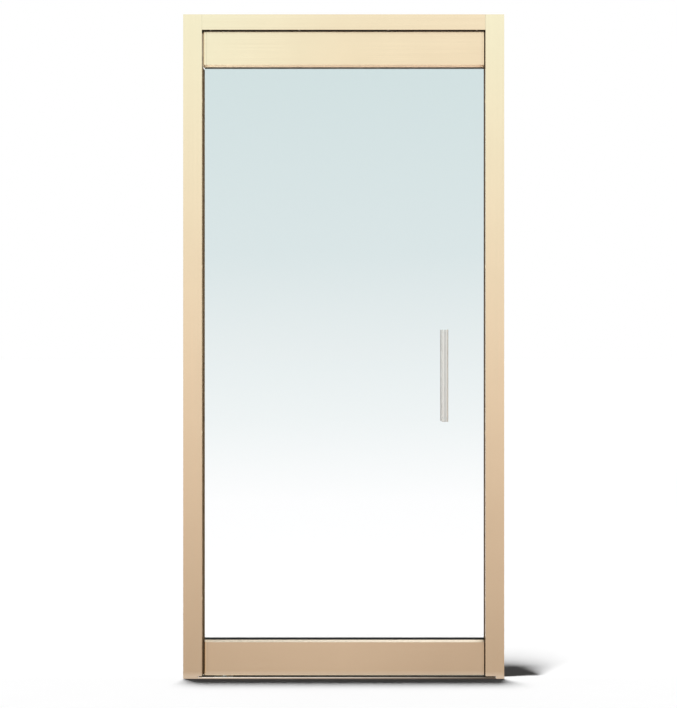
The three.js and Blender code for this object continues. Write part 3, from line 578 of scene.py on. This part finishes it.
def soft_corner(radius, z, way, rim):
    """Profile of a small rounded corner, from an end face at z to the wall that runs way along Z."""
    return [
        (radius - rim, z),
        (radius - 0.3 * rim, z + way * 0.3 * rim),
        (radius, z + way * rim),
        (radius, z + way * (rim + FLAT_EDGE)),
    ]


def facing(centre, direction):
    """Matrix that puts a thing made along +Z at centre, looking along direction."""
    turn = Vector(direction).to_track_quat("Z", "Y").to_matrix().to_4x4()
    return Matrix.Translation(centre) @ turn


# ---------------------------------------------------------------- pulls

TUBE_WALL = 2 * MM
TUBE_RIM = 0.35 * MM  # rounding of the tube's ends, and of the caps beside them
SEAM = 0.3 * MM  # open joint between the tube and a cap
CAP_CHAMFER = 0.7 * MM
CAP_CROWN = 0.15 * MM  # how far a cap's middle stands out past its chamfer
CROWN_EDGE = 1.5 * MM  # width of the slope round that middle
SPIGOT_PLAY = 0.3 * MM  # between the tube's bore and the spigot that plugs it
POST_BORE = 4.4 * MM  # radius
NECK_STEP = 1.2 * MM  # how much slimmer a post is than its flange
FLANGE_THICKNESS = 3.6 * MM
FLANGE_EDGE = 0.4 * MM
NECK_FILLET = 0.5 * MM
GRUB_REACH = 22 * MM  # from the flange's foot
GRUB_SUNK = 0.1 * MM
WASHER_BORE = 4.6 * MM  # radius
WASHER_RADIUS = 9.0 * MM
WASHER_EDGE = (0.4 * MM, 0.3 * MM)  # slope at its rim, inwards and along
WASHER_SEGMENTS = 64

GRUB_HEAD = (1.9 * MM, 0.5 * MM)  # radius and height


def pull_tube(side):
    """Tube between its two caps, with softly rounded rims that show as fine seams."""
    low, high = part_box(f"{side}_pull_tube")
    centre = (low + high) / 2
    radius = (high.x - low.x) / 2
    outer = soft_corner(radius, low.z, 1, TUBE_RIM) + soft_corner(radius, high.z, -1, TUBE_RIM)[::-1]
    inner = [(radius - TUBE_WALL, high.z), (radius - TUBE_WALL, low.z)]
    profile = [*outer, *inner, outer[0]]
    mesh = bmesh.new()
    lathe(mesh, profile, Matrix.Translation((centre.x, centre.y, 0)))
    bmesh.ops.remove_doubles(mesh, verts=mesh.verts, dist=MERGE_DISTANCE)
    piece = finish_piece(f"{side}_pull_satin_tube", mesh, pull_steel, "leaf", SMOOTH)
    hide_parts(f"{side}_pull_tube")


def pull_cap(side, place):
    """Slightly crowned cap with a chamfered rim, and a spigot that plugs the tube."""
    node = f"{side}_pull_{place}_cap"
    low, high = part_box(node)
    tube_low, tube_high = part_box(f"{side}_pull_tube")
    centre = (low + high) / 2
    radius = (high.x - low.x) / 2
    upper = place == "upper"
    outer_end = high.z if upper else low.z
    way = -1 if upper else 1
    seam = (tube_high.z + SEAM) if upper else (tube_low.z - SEAM)
    spigot_end = low.z if upper else high.z
    spigot = radius - TUBE_WALL - SPIGOT_PLAY
    chamfer, crown = CAP_CHAMFER, CAP_CROWN
    profile = [
        (0, outer_end),
        (radius - chamfer - CROWN_EDGE, outer_end),
        (radius - chamfer, outer_end + way * crown),
        (radius - 0.3 * chamfer, outer_end + way * 0.4 * chamfer),
        (radius, outer_end + way * (chamfer + crown)),
        (radius, outer_end + way * (chamfer + crown + FLAT_EDGE)),
        *soft_corner(radius, seam, -way, TUBE_RIM)[::-1],
        (spigot, seam),
        (spigot, spigot_end),
        (0, spigot_end),
    ]
    mesh = bmesh.new()
    lathe(mesh, profile, Matrix.Translation((centre.x, centre.y, 0)))
    piece = finish_piece(f"{node}_turned", mesh, pull_steel, "leaf", SMOOTH)
    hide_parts(node)


def pull_post(side, place):
    """Post that meets the tube in a true saddle, with a flange at the glass and a grub screw."""
    node = f"{side}_pull_{place}_post"
    low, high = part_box(node)
    tube_low, tube_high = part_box(f"{side}_pull_tube")
    axis = (tube_low + tube_high) / 2
    tube_radius = (tube_high.x - tube_low.x) / 2
    centre = (low + high) / 2
    radius = (high.x - low.x) / 2
    out = -1 if side == "front" else 1
    foot = high.y if side == "front" else low.y
    mesh = bmesh.new()
    rings = []
    flange, neck = radius, radius - NECK_STEP
    neck_foot = FLANGE_THICKNESS + FLANGE_EDGE
    stations = [
        (POST_BORE, 0.0),
        (flange - FLANGE_EDGE, 0.0),
        (flange, FLANGE_EDGE),
        (flange, FLANGE_THICKNESS - FLANGE_EDGE),
        (flange - FLANGE_EDGE, FLANGE_THICKNESS),
        (neck + NECK_FILLET, neck_foot),
        (neck, neck_foot + 2 * NECK_FILLET),
        (neck, None),  # None is the saddle on the tube
        (POST_BORE, None),
    ]
    for r, reach in stations:
        ring = []
        for i in range(SMOOTH_SEGMENTS):
            a = 2 * math.pi * i / SMOOTH_SEGMENTS
            x, z = r * math.cos(a), r * math.sin(a)
            if reach is None:
                saddle = math.sqrt((tube_radius + FIT_GAP) ** 2 - x * x)
                y = axis.y - out * saddle
            else:
                y = foot + out * reach
            ring.append(mesh.verts.new((centre.x + x, y, centre.z + z)))
        rings.append(ring)
    rings.append(rings[0])
    for a, b in zip(rings, rings[1:]):
        for i in range(SMOOTH_SEGMENTS):
            j = (i + 1) % SMOOTH_SEGMENTS
            mesh.faces.new((a[i], a[j], b[j], b[i]))
    piece = finish_piece(f"{node}_turned", mesh, pull_steel, "leaf", SMOOTH)
    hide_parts(node)

    grub = Vector((centre.x, foot + out * GRUB_REACH, centre.z - neck + GRUB_SUNK))
    socket_head(f"{side}_pull_{place}_grub_screw", grub, (0, 0, -1), GRUB_HEAD, "leaf")
    washer(f"{side}_pull_{place}_washer", centre, foot, out)


def washer(name, centre, foot, out):
    """Clear-fitting nylon washer between the post and the glass."""
    glass_face = glass_high.y if out > 0 else glass_low.y
    thickness = abs(foot - glass_face)
    mesh = bmesh.new()
    inwards, along = WASHER_EDGE
    profile = [
        (WASHER_BORE, FIT_GAP),
        (WASHER_RADIUS - inwards, FIT_GAP),
        (WASHER_RADIUS, along),
        (WASHER_RADIUS, thickness - along),
        (WASHER_RADIUS - inwards, thickness - FIT_GAP),
        (WASHER_BORE, thickness - FIT_GAP),
        (WASHER_BORE, FIT_GAP),
    ]
    place = facing(Vector((centre.x, glass_face, centre.z)), (0, out, 0))
    lathe(mesh, profile, place, WASHER_SEGMENTS)
    bmesh.ops.remove_doubles(mesh, verts=mesh.verts, dist=MERGE_DISTANCE)
    finish_piece(name, mesh, nylon, "leaf", SMOOTH)


# ---------------------------------------------------------------- screws and plugs

# Screw heads, by radius and height
FACEPLATE_HEAD = (3.6 * MM, 0.9 * MM)
SOFFIT_HEAD = (3.0 * MM, 0.8 * MM)
PIVOT_HEAD = (3.2 * MM, 0.7 * MM)
CAP_HEAD = (3.0 * MM, 0.7 * MM)

FACEPLATE_SCREW_INSET = 8 * MM
SOFFIT_SCREW_INSET = 7 * MM
SOFFIT_SCREWS = 4  # in each row
SOFFIT_END_SHARE = 0.03  # of the plate's length, from an end to the first screw
PIVOT_SCREW_REACH = 22 * MM  # from the middle of the base
PIVOT_PLATE_DROP = 2 * MM  # from the sill's lips down to the pivot's plate
CAP_SCREW_SHARES = (0.14, 0.5)  # of the cap's height, from the rail's outer edge

PLUG_CLEARANCE = 0.15 * MM
PLUG_SUNK = 1.2 * MM
PLUG_DEPTH = 14 * MM
PLUG_RIM = 4 * MM
PLUG_RECESS = 2 * MM
PLUG_EDGE = 0.5 * MM

ANCHORS = 4  # in each row
ANCHOR_FIRST, ANCHOR_STEP = 0.12, 0.25  # shares of the jamb's height
ANCHOR_OFFSET = 37 * MM  # from the middle of the jamb's depth
ANCHOR_CAP_RADIUS = 5.5 * MM
ANCHOR_CAP_SUNK, ANCHOR_CAP_PROUD = 1.0 * MM, 0.8 * MM
ANCHOR_CAP_RIM = 0.5 * MM


def socket_head(name, centre, direction, head, body):
    """Low domed screw head with a hexagonal socket."""
    radius, height = head
    mesh = bmesh.new()
    place = facing(centre, direction)
    segments = SMALL_SEGMENTS
    socket, socket_floor = 0.52 * radius, 0.1 * height
    sunk = -0.4 * height
    profile = [
        (0.2 * radius, sunk),
        (radius, sunk),
        (radius, 0.35 * height),
        (0.93 * radius, 0.75 * height),
        (0.8 * radius, height),
    ]
    lathe(mesh, profile, place, segments)
    mesh.verts.ensure_lookup_table()
    rim = list(mesh.verts)[-segments:]
    base = list(mesh.verts)[:segments]
    mesh.faces.new(base)
    hexagon_top, hexagon_floor = [], []
    for i in range(segments):
        a = 2 * math.pi * i / segments
        sector = (a + math.pi / 6) % (math.pi / 3) - math.pi / 6
        r = socket * math.cos(math.pi / 6) / math.cos(sector)
        for ring, z in ((hexagon_top, height), (hexagon_floor, socket_floor)):
            ring.append(mesh.verts.new(place @ Vector((r * math.cos(a), r * math.sin(a), z))))
    for a, b in ((rim, hexagon_top), (hexagon_top, hexagon_floor)):
        for i in range(segments):
            j = (i + 1) % segments
            mesh.faces.new((a[i], a[j], b[j], b[i]))
    mesh.faces.new(hexagon_floor)
    finish_piece(name, mesh, screw_steel, body, SMOOTH)


def jamb_plug(node):
    """Black nylon plug in the open top of a jamb, with a rim round a shallow recess."""
    low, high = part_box(node)
    inset = JAMB_WALL + PLUG_CLEARANCE
    top = high.z - PLUG_SUNK
    mesh = bmesh.new()
    box_into(mesh, (low.x + inset, low.y + inset, top - PLUG_DEPTH), (high.x - inset, high.y - inset, top))
    top_faces = [f for f in mesh.faces if f.calc_center_median().z > top - PLUG_DEPTH / 4]
    bmesh.ops.inset_region(mesh, faces=top_faces, thickness=PLUG_RIM)
    recess = list({v for f in top_faces for v in f.verts})
    bmesh.ops.translate(mesh, verts=recess, vec=(0, 0, -PLUG_RECESS))
    bmesh.ops.bevel(
        mesh,
        geom=list(mesh.edges),
        offset=PLUG_EDGE,
        segments=BEVEL_SEGMENTS,
        affect="EDGES",
        clamp_overlap=True,
    )
    finish_piece(f"{node}_top_plug", mesh, nylon, "frame", SMOOTH)


def faceplate_screws():
    low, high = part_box("strike_faceplate")
    middle = (low.y + high.y) / 2
    for i, x in enumerate((low.x + FACEPLATE_SCREW_INSET, high.x - FACEPLATE_SCREW_INSET)):
        centre = Vector((x, middle, low.z))
        socket_head(f"faceplate_screw_{i + 1}", centre, (0, 0, -1), FACEPLATE_HEAD, "frame")


def soffit_screws():
    low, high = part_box("head_soffit_plate")
    for i in range(SOFFIT_SCREWS):
        share = SOFFIT_END_SHARE + (1 - 2 * SOFFIT_END_SHARE) * i / (SOFFIT_SCREWS - 1)
        x = low.x + (high.x - low.x) * share
        for row, y in (("front", low.y + SOFFIT_SCREW_INSET), ("back", high.y - SOFFIT_SCREW_INSET)):
            name = f"soffit_screw_{row}_{i + 1}"
            socket_head(name, Vector((x, y, low.z)), (0, 0, -1), SOFFIT_HEAD, "frame")


def pivot_base_screws():
    low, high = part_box("bottom_pivot_base")
    plate_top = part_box("sill_plate")[1].z - PIVOT_PLATE_DROP
    middle = (low + high) / 2
    for i, side in enumerate((-1, 1)):
        centre = Vector((middle.x + side * PIVOT_SCREW_REACH, middle.y, plate_top))
        socket_head(f"pivot_base_screw_{i + 1}", centre, (0, 0, 1), PIVOT_HEAD, "frame")


def cap_screws():
    """Two screws through every end cap of the rails."""
    for rail in ("top", "bottom"):
        for end, way in (("pivot", -1), ("strike", 1)):
            low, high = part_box(f"{rail}_rail_{end}_cap")
            face = low.x if way < 0 else high.x
            height = high.z - low.z
            rail_root = high.z if rail == "top" else low.z
            into = -1 if rail == "top" else 1
            for i, share in enumerate(CAP_SCREW_SHARES):
                centre = Vector((face, 0, rail_root + into * share * height))
                name = f"{rail}_rail_{end}_cap_screw_{i + 1}"
                socket_head(name, centre, (way, 0, 0), CAP_HEAD, "leaf")


def anchor_plugs():
    """Low caps over the anchors, on the jambs' inner faces before and behind the leaf."""
    profile = rounded(ANCHOR_CAP_RADIUS, -ANCHOR_CAP_SUNK, ANCHOR_CAP_PROUD, ANCHOR_CAP_RIM)
    for node, way in (("pivot_jamb", 1), ("strike_jamb", -1)):
        low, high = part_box(node)
        face = high.x if way > 0 else low.x
        for i in range(ANCHORS):
            z = low.z + (high.z - low.z) * (ANCHOR_FIRST + ANCHOR_STEP * i)
            for row, y in (("front", -ANCHOR_OFFSET), ("back", ANCHOR_OFFSET)):
                mesh = bmesh.new()
                place = facing(Vector((face, y, z)), (way, 0, 0))
                lathe(mesh, profile, place, SMALL_SEGMENTS)
                name = f"{node}_anchor_cap_{row}_{i + 1}"
                finish_piece(name, mesh, upright, "frame", SMOOTH)


# ---------------------------------------------------------------- brush seals

TUFT_PITCH = 1.1 * MM
TUFT_JITTER = 0.15  # share of the pitch by which a tuft may stand off its place
TUFT_LEAN, TUFT_DRIFT = 0.175, 0.125  # most that its crown moves across and along, per length
TUFT_SHORTEST = 0.86
TUFT_HALF = 0.42  # half its length along the row, as a share of the pitch
TUFT_TAPER = 0.45  # its crown against its root
SHORT_BRUSH = 4 * MM  # a brush that reaches less than this has more backing for its reach
SHORT_BACKING, LONG_BACKING = 0.3, 0.12  # shares of the reach
FILM = 0.3 * MM  # the fin that runs down the middle of a brush and stops the draught
FILM_REACH = 0.9  # share of the reach
ROOTED = 0.9  # the tufts start this share of the way out through the backing
PILE_SPAN = 0.8  # share of the width that the rows fill
PILE_ROWS = 3
SWEEP_PILE_HALF = 2.5 * MM
SWEEP_HOLDER = 3 * MM
SWEEP_LIP = (1 * MM, 1.6 * MM)  # thickness and drop of the lips that grip its pile
SWEEP_EDGE = 0.2 * MM


def tuft_row(mesh, start, step, count, tip, width, spread_axis, rng):
    """A row of thin tapering tufts as long as tip, each leaning a little at random."""
    for i in range(count):
        base = start + step * (i + rng.uniform(-TUFT_JITTER, TUFT_JITTER))
        lean = spread_axis * rng.uniform(-TUFT_LEAN, TUFT_LEAN) * tip.length
        along = step.normalized() * rng.uniform(-TUFT_DRIFT, TUFT_DRIFT) * tip.length
        shorter = rng.uniform(TUFT_SHORTEST, 1.0)
        end = base + tip * shorter + lean + along
        half_along = step.normalized() * step.length * TUFT_HALF
        half_side = spread_axis * width / 2
        corners = [
            mesh.verts.new(base + half_along + half_side),
            mesh.verts.new(base - half_along + half_side),
            mesh.verts.new(base - half_along - half_side),
            mesh.verts.new(base + half_along - half_side),
        ]
        crown = [mesh.verts.new(end + TUFT_TAPER * (c.co - base)) for c in corners]
        mesh.faces.new(crown)
        mesh.faces.new(corners[::-1])
        for a in range(4):
            b = (a + 1) % 4
            mesh.faces.new((corners[a], crown[a], crown[b], corners[b]))


def brush(node, piece_name, body, outward, run, rows, box=None):
    """Replaces a plain brush strip with a backing, a fin and rows of tufts that point outward. box
    gives the pile's corners where the node is more than its pile."""
    low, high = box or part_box(node)
    rng = random.Random(SEED + len(node))
    out = Vector(outward)
    along = Vector(run)
    side = out.cross(along).normalized()
    side = Vector(tuple(abs(c) for c in side))
    size = high - low
    reach = abs(size.dot(out))
    length = abs(size.dot(along))
    width = abs(size.dot(side))
    centre = (low + high) / 2
    root_centre = centre - out * reach / 2
    backing = (SHORT_BACKING if reach < SHORT_BRUSH else LONG_BACKING) * reach
    mesh = bmesh.new()
    end = along * length / 2
    half = end + side * width / 2
    box_between(mesh, root_centre - half, root_centre + half + out * backing)
    film = end + side * FILM / 2
    box_between(mesh, root_centre - film, root_centre + film + out * FILM_REACH * reach)
    # The rows keep about a pitch clear of both ends.
    count = int(length / TUFT_PITCH) - 2
    step = along * (length - 2 * TUFT_PITCH) / count
    tip = out * (reach - backing)
    for r in range(rows):
        offset = side * width * ((r + 0.5) / rows - 0.5) * PILE_SPAN
        start = root_centre + out * backing * ROOTED + offset - along * (length / 2 - 1.5 * TUFT_PITCH)
        tuft_row(mesh, start, step, count, tip, width / rows / 2, side, rng)
    piece = finish_piece(piece_name, mesh, BY_SLOT["brush_pile"], body)
    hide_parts(node)


def bottom_sweep():
    """Pile that hangs from a holder across the bottom rail's chamber. The holder is painted near-black,
    as shade under the leaf.
    """
    node = "bottom_sweep"
    low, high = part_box(node)
    holder_bottom = high.z - SWEEP_HOLDER
    thickness, drop = SWEEP_LIP
    mesh = bmesh.new()
    box_into(mesh, (low.x, low.y, holder_bottom), high)
    for side in (-1, 1):
        near, far = sorted((side * SWEEP_PILE_HALF, side * (SWEEP_PILE_HALF + thickness)))
        box_into(mesh, (low.x, near, holder_bottom - drop), (high.x, far, holder_bottom))
    bmesh.ops.bevel(
        mesh, geom=list(mesh.edges), offset=SWEEP_EDGE, segments=BEVEL_SEGMENTS, affect="EDGES"
    )
    # The holder is painted near-black: painted shade under the leaf.
    holder = finish_piece("bottom_sweep_holder", mesh, shade_black_metal, "leaf", SMOOTH)
    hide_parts(node)
    pile = (
        Vector((low.x, -SWEEP_PILE_HALF, low.z)),
        Vector((high.x, SWEEP_PILE_HALF, holder_bottom)),
    )
    brush(node, "bottom_sweep_pile", "leaf", (0, 0, -1), (1, 0, 0), PILE_ROWS, pile)


# ---------------------------------------------------------------- stage


def srgb(*values):
    """Linear colour from 8-bit sRGB values."""
    return tuple(((v / 255 + 0.055) / 1.055) ** 2.4 for v in values)


def add_camera():
    data = bpy.data.cameras.new("camera")
    data.sensor_width = SENSOR
    data.lens = SENSOR * VIEW_DISTANCE / METRES_PER_PIXEL / PICTURE_HEIGHT
    camera = add_object("camera", data)
    camera.location = (VIEW_SIDE, front_y - VIEW_DISTANCE, VIEW_HEIGHT)
    camera.rotation_euler = (math.pi / 2, 0, 0)
    bpy.context.scene.camera = camera


def stage_sheet(name, corners):
    data = bpy.data.meshes.new(name)
    data.from_pydata([tuple(c) for c in corners], [], [tuple(range(len(corners)))])
    sheet = add_object(name, data)
    return sheet


def plane(name, low, high, material):
    """Flat stage rectangle between two corners that share one coordinate."""
    low, high = Vector(low), Vector(high)
    flat = min(range(3), key=lambda i: abs(high[i] - low[i]))
    u, v = [i for i in range(3) if i != flat]
    corners = []
    for a, b in ((0, 0), (1, 0), (1, 1), (0, 1)):
        p = low.copy()
        p[u] = high[u] if a else low[u]
        p[v] = high[v] if b else low[v]
        corners.append(p)
    sheet = stage_sheet(name, corners)
    sheet.data.materials.append(material)
    return sheet


def add_floor():
    """The floor in front of the door and the floor behind it, which are lit apart."""
    material, s = new_material("floor_white")
    grain = s.noise(s.axes()[0], 3.0, detail=2.0)
    s.surface(
        base_color=s.mix(grain, (0.93, 0.93, 0.93), (0.95, 0.95, 0.95)),
        roughness=0.9,
        specular_ior_level=0.0,
    )
    r = FLOOR_REACH
    front = plane("floor_front", (-r, -r, 0), (r, 0, 0), material)
    back = plane("floor_back", (-r, 0, 0), (r, r, 0), material)
    for floor in (front, back):
        floor.visible_glossy = False
    return front, back


BACKGROUND_DISTANCE = 1.2
BACKGROUND_HALF_WIDTH = 3.0
BACKGROUND_LOW, BACKGROUND_HIGH = -0.2, 4.0


def sky_glow():
    """White along the ground and pale blue above. It is seen through the glass and lights nothing."""
    material, s = new_material("background_sky")
    _, (_, _, z) = s.axes()
    stops = [
        (0.02, (1.06, 1.05, 1.05)),
        (0.51, (1.01, 1.01, 1.02)),
        (0.82, srgb(240, 245, 246)),
        (1.45, srgb(215, 227, 229)),
        (2.12, srgb(206, 219, 220)),
    ]
    top = stops[-1][0]
    shares = [(height / top, color) for height, color in stops]
    color = s.ramp(s.spread(z, 0.0, 1.0, 0.0, top), shares)
    ray = s.node("ShaderNodeLightPath").outputs
    unscattered = s.math("LESS_THAN", ray["Diffuse Depth"], 0.5)
    glow = s.node("ShaderNodeEmission", {"Color": color, "Strength": unscattered})
    output = s.node("ShaderNodeOutputMaterial")
    s.tree.links.new(glow.outputs[0], output.inputs["Surface"])
    return material


def add_background():
    """A plain card behind the door, which only the glass shows."""
    card = plane(
        "background_card",
        (-BACKGROUND_HALF_WIDTH, BACKGROUND_DISTANCE, BACKGROUND_LOW),
        (BACKGROUND_HALF_WIDTH, BACKGROUND_DISTANCE, BACKGROUND_HIGH),
        sky_glow(),
    )
    card.visible_camera = False
    card.visible_diffuse = False
    card.visible_glossy = False
    card.visible_shadow = False


def reflected_light(s, stops):
    """Colour by the height of a direction, from straight down at 0 to straight up at 1."""
    _, (_, _, z) = s.axes("Generated")
    return s.ramp(s.spread(z, 0.0, 1.0, -1.0, 1.0), stops)


def side_panels(s, x, y):
    """Brightness by compass direction: two brighter panels to the left and the right of the viewer,
    and a dark stretch behind the pivot side. 0.5 on the ramp is towards the viewer, 0.25 is the pivot
    side and 0.75 the strike side."""
    heading = s.math("ARCTAN2", x, s.math("MULTIPLY", y, -1.0))
    levels = [
        (0.00, 0.10),
        (0.13, 0.10),
        (0.19, 1.25),
        (0.25, 1.50),
        (0.33, 1.40),
        (0.41, 1.05),
        (0.46, 1.00),
        (0.54, 1.00),
        (0.60, 1.13),
        (0.68, 1.25),
        (0.80, 1.25),
        (1.00, 1.10),
    ]
    brightest = max(level for _, level in levels)
    stops = [(place, (level / brightest,) * 3) for place, level in levels]
    share = s.ramp(s.spread(heading, 0.0, 1.0, -math.pi, math.pi), stops)
    return s.mix(1.0, share, (brightest,) * 3, blend="MULTIPLY")


FLAG_STRENGTH = 0.85
FLAG_EDGE = (0.90, 0.97)  # cosines of the angles from +Y between which the dark flag fades in


def add_world():
    """White to the eye. Metal sees a dome that is warm below and cool above, and a dark flag straight
    behind the door, which keeps the narrow gaps dark."""
    world = bpy.data.worlds.new("studio")
    bpy.context.scene.world = world
    s = Shader(world)
    dome = [
        (0.00, (1.50, 1.48, 1.40)),
        (0.30, (0.34, 0.29, 0.25)),
        (0.42, (0.40, 0.34, 0.31)),
        (0.45, (0.72, 0.615, 0.56)),
        (0.47, (0.835, 0.72, 0.67)),
        (0.50, (1.10, 0.965, 0.92)),
        (0.515, (1.145, 1.06, 1.01)),
        (0.57, (1.165, 1.465, 1.48)),
        (1.00, (1.30, 1.40, 1.60)),
    ]
    _, (x, y, _) = s.axes("Generated")
    flag = s.spread(y, 0.0, FLAG_STRENGTH, *FLAG_EDGE)
    around = s.mix(1.0, reflected_light(s, dome), side_panels(s, x, y), blend="MULTIPLY")
    reflected = s.mix(flag, around, (0.22, 0.16, 0.09))
    ray = s.node("ShaderNodeLightPath").outputs
    dome_light = s.node("ShaderNodeBackground", {0: reflected, 1: 1.0}).outputs[0]
    open_air = s.node("ShaderNodeBackground", {0: (1, 1, 1, 1), 1: 1.0}).outputs[0]
    fill = s.node("ShaderNodeBackground", {0: (1, 1, 1, 1), 1: FILL}).outputs[0]
    seen = s.node("ShaderNodeMixShader", {0: ray["Is Glossy Ray"], 1: open_air, 2: dome_light})
    scattered = s.math("GREATER_THAN", ray["Diffuse Depth"], 0.5)
    lit = s.node("ShaderNodeMixShader", {0: scattered, 1: seen.outputs[0], 2: fill})
    output = s.node("ShaderNodeOutputWorld")
    s.tree.links.new(lit.outputs[0], output.inputs["Surface"])
    world.cycles.sampling_method = "NONE"  # so that every surface sees the world by its own kind of ray


def shadow_sheet(name, y, outline):
    """An unseen upright sheet through (x, z) points. The floor's suns are stopped by such sheets and
    not by the door, so the shadow is the short soft one of a studio picture."""
    sheet = stage_sheet(name, [(x, y, z) for x, z in outline])
    sheet.visible_camera = False
    sheet.visible_diffuse = False
    sheet.visible_glossy = False
    sheet.visible_transmission = False
    return sheet


def group_of(name, thing):
    """A collection of one object, for light linking."""
    group = bpy.data.collections.new(name)
    group.objects.link(thing)
    return group


def add_floor_sun(name, floor, blocker, heading, elevation, softness, exposure):
    """A soft sun that lights one half of the floor to white, exposure times over. Angles are in
    degrees: heading is where its light travels, from +X, and softness is how wide the sun is."""
    data = bpy.data.lights.new(name, "SUN")
    facing_share = math.sin(math.radians(elevation))
    data.energy = (exposure - FILL) * math.pi / (FLOOR_ALBEDO * facing_share)
    data.angle = math.radians(softness)
    sun = add_object(name, data)
    level_share, turn = math.cos(math.radians(elevation)), math.radians(heading)
    travel = Vector((level_share * math.cos(turn), level_share * math.sin(turn), -facing_share))
    sun.rotation_mode = "QUATERNION"
    sun.rotation_quaternion = travel.to_track_quat("-Z", "Y")
    sun.light_linking.receiver_collection = group_of(f"{name}_receivers", floor)
    sun.light_linking.blocker_collection = group_of(f"{name}_blockers", blocker)


def add_lights(floor_front, floor_back):
    low, high = cad_box
    front = [(low.x, FRONT_SHADOW), (low.x, 0), (high.x, 0), (high.x, FRONT_SHADOW)]
    back = [
        (low.x, BACK_SHADOW),
        (low.x, 0),
        (high.x, 0),
        (high.x + SIDE_SHADOW, 0.1 * BACK_SHADOW),
        (high.x + 0.5 * SIDE_SHADOW, BACK_SHADOW),
    ]
    front_sheet = shadow_sheet("front_sheet", front_y, front)
    back_sheet = shadow_sheet("back_sheet", 0, back)
    add_floor_sun(
        "front_floor_sun", floor_front, front_sheet, heading=-80, elevation=51, softness=32, exposure=1.0
    )
    add_floor_sun(
        "back_floor_sun", floor_back, back_sheet, heading=78, elevation=27, softness=30, exposure=1.03
    )


# ---------------------------------------------------------------- build

add_camera()
dress_nodes()
soften_edges(
    [
        "head_channel",
        "head_stop",
        "pivot_jamb",
        "strike_jamb",
        "sill_plate",
        "strike_faceplate",
        *[f"{rail}_rail_{side}_cover" for rail in ("top", "bottom") for side in ("front", "back")],
        *[f"{rail}_rail_{end}_cap" for rail in ("top", "bottom") for end in ("pivot", "strike")],
    ],
    EDGE_BEVEL,
)
soften_edges(["glass_panel"], GLASS_ARRIS)
nodes["glass_panel"].visible_shadow = False

for side in ("front", "back"):
    pull_tube(side)
    for place in ("upper", "lower"):
        pull_cap(side, place)
        pull_post(side, place)

for jamb in ("pivot_jamb", "strike_jamb"):
    jamb_plug(jamb)
faceplate_screws()
soffit_screws()
pivot_base_screws()
cap_screws()
anchor_plugs()
brush("pivot_edge_seal_brush", "pivot_seal_pile", "frame", (1, 0, 0), (0, 0, 1), PILE_ROWS)
brush("strike_edge_seal_brush", "strike_seal_pile", "frame", (-1, 0, 0), (0, 0, 1), PILE_ROWS)
brush("head_stop_seal", "head_seal_pile", "frame", (0, -1, 0), (1, 0, 0), PILE_ROWS)
bottom_sweep()

floor_front, floor_back = add_floor()
add_background()
add_world()
add_lights(floor_front, floor_back)
scene = bpy.context.scene
scene.view_settings.view_transform = "Standard"
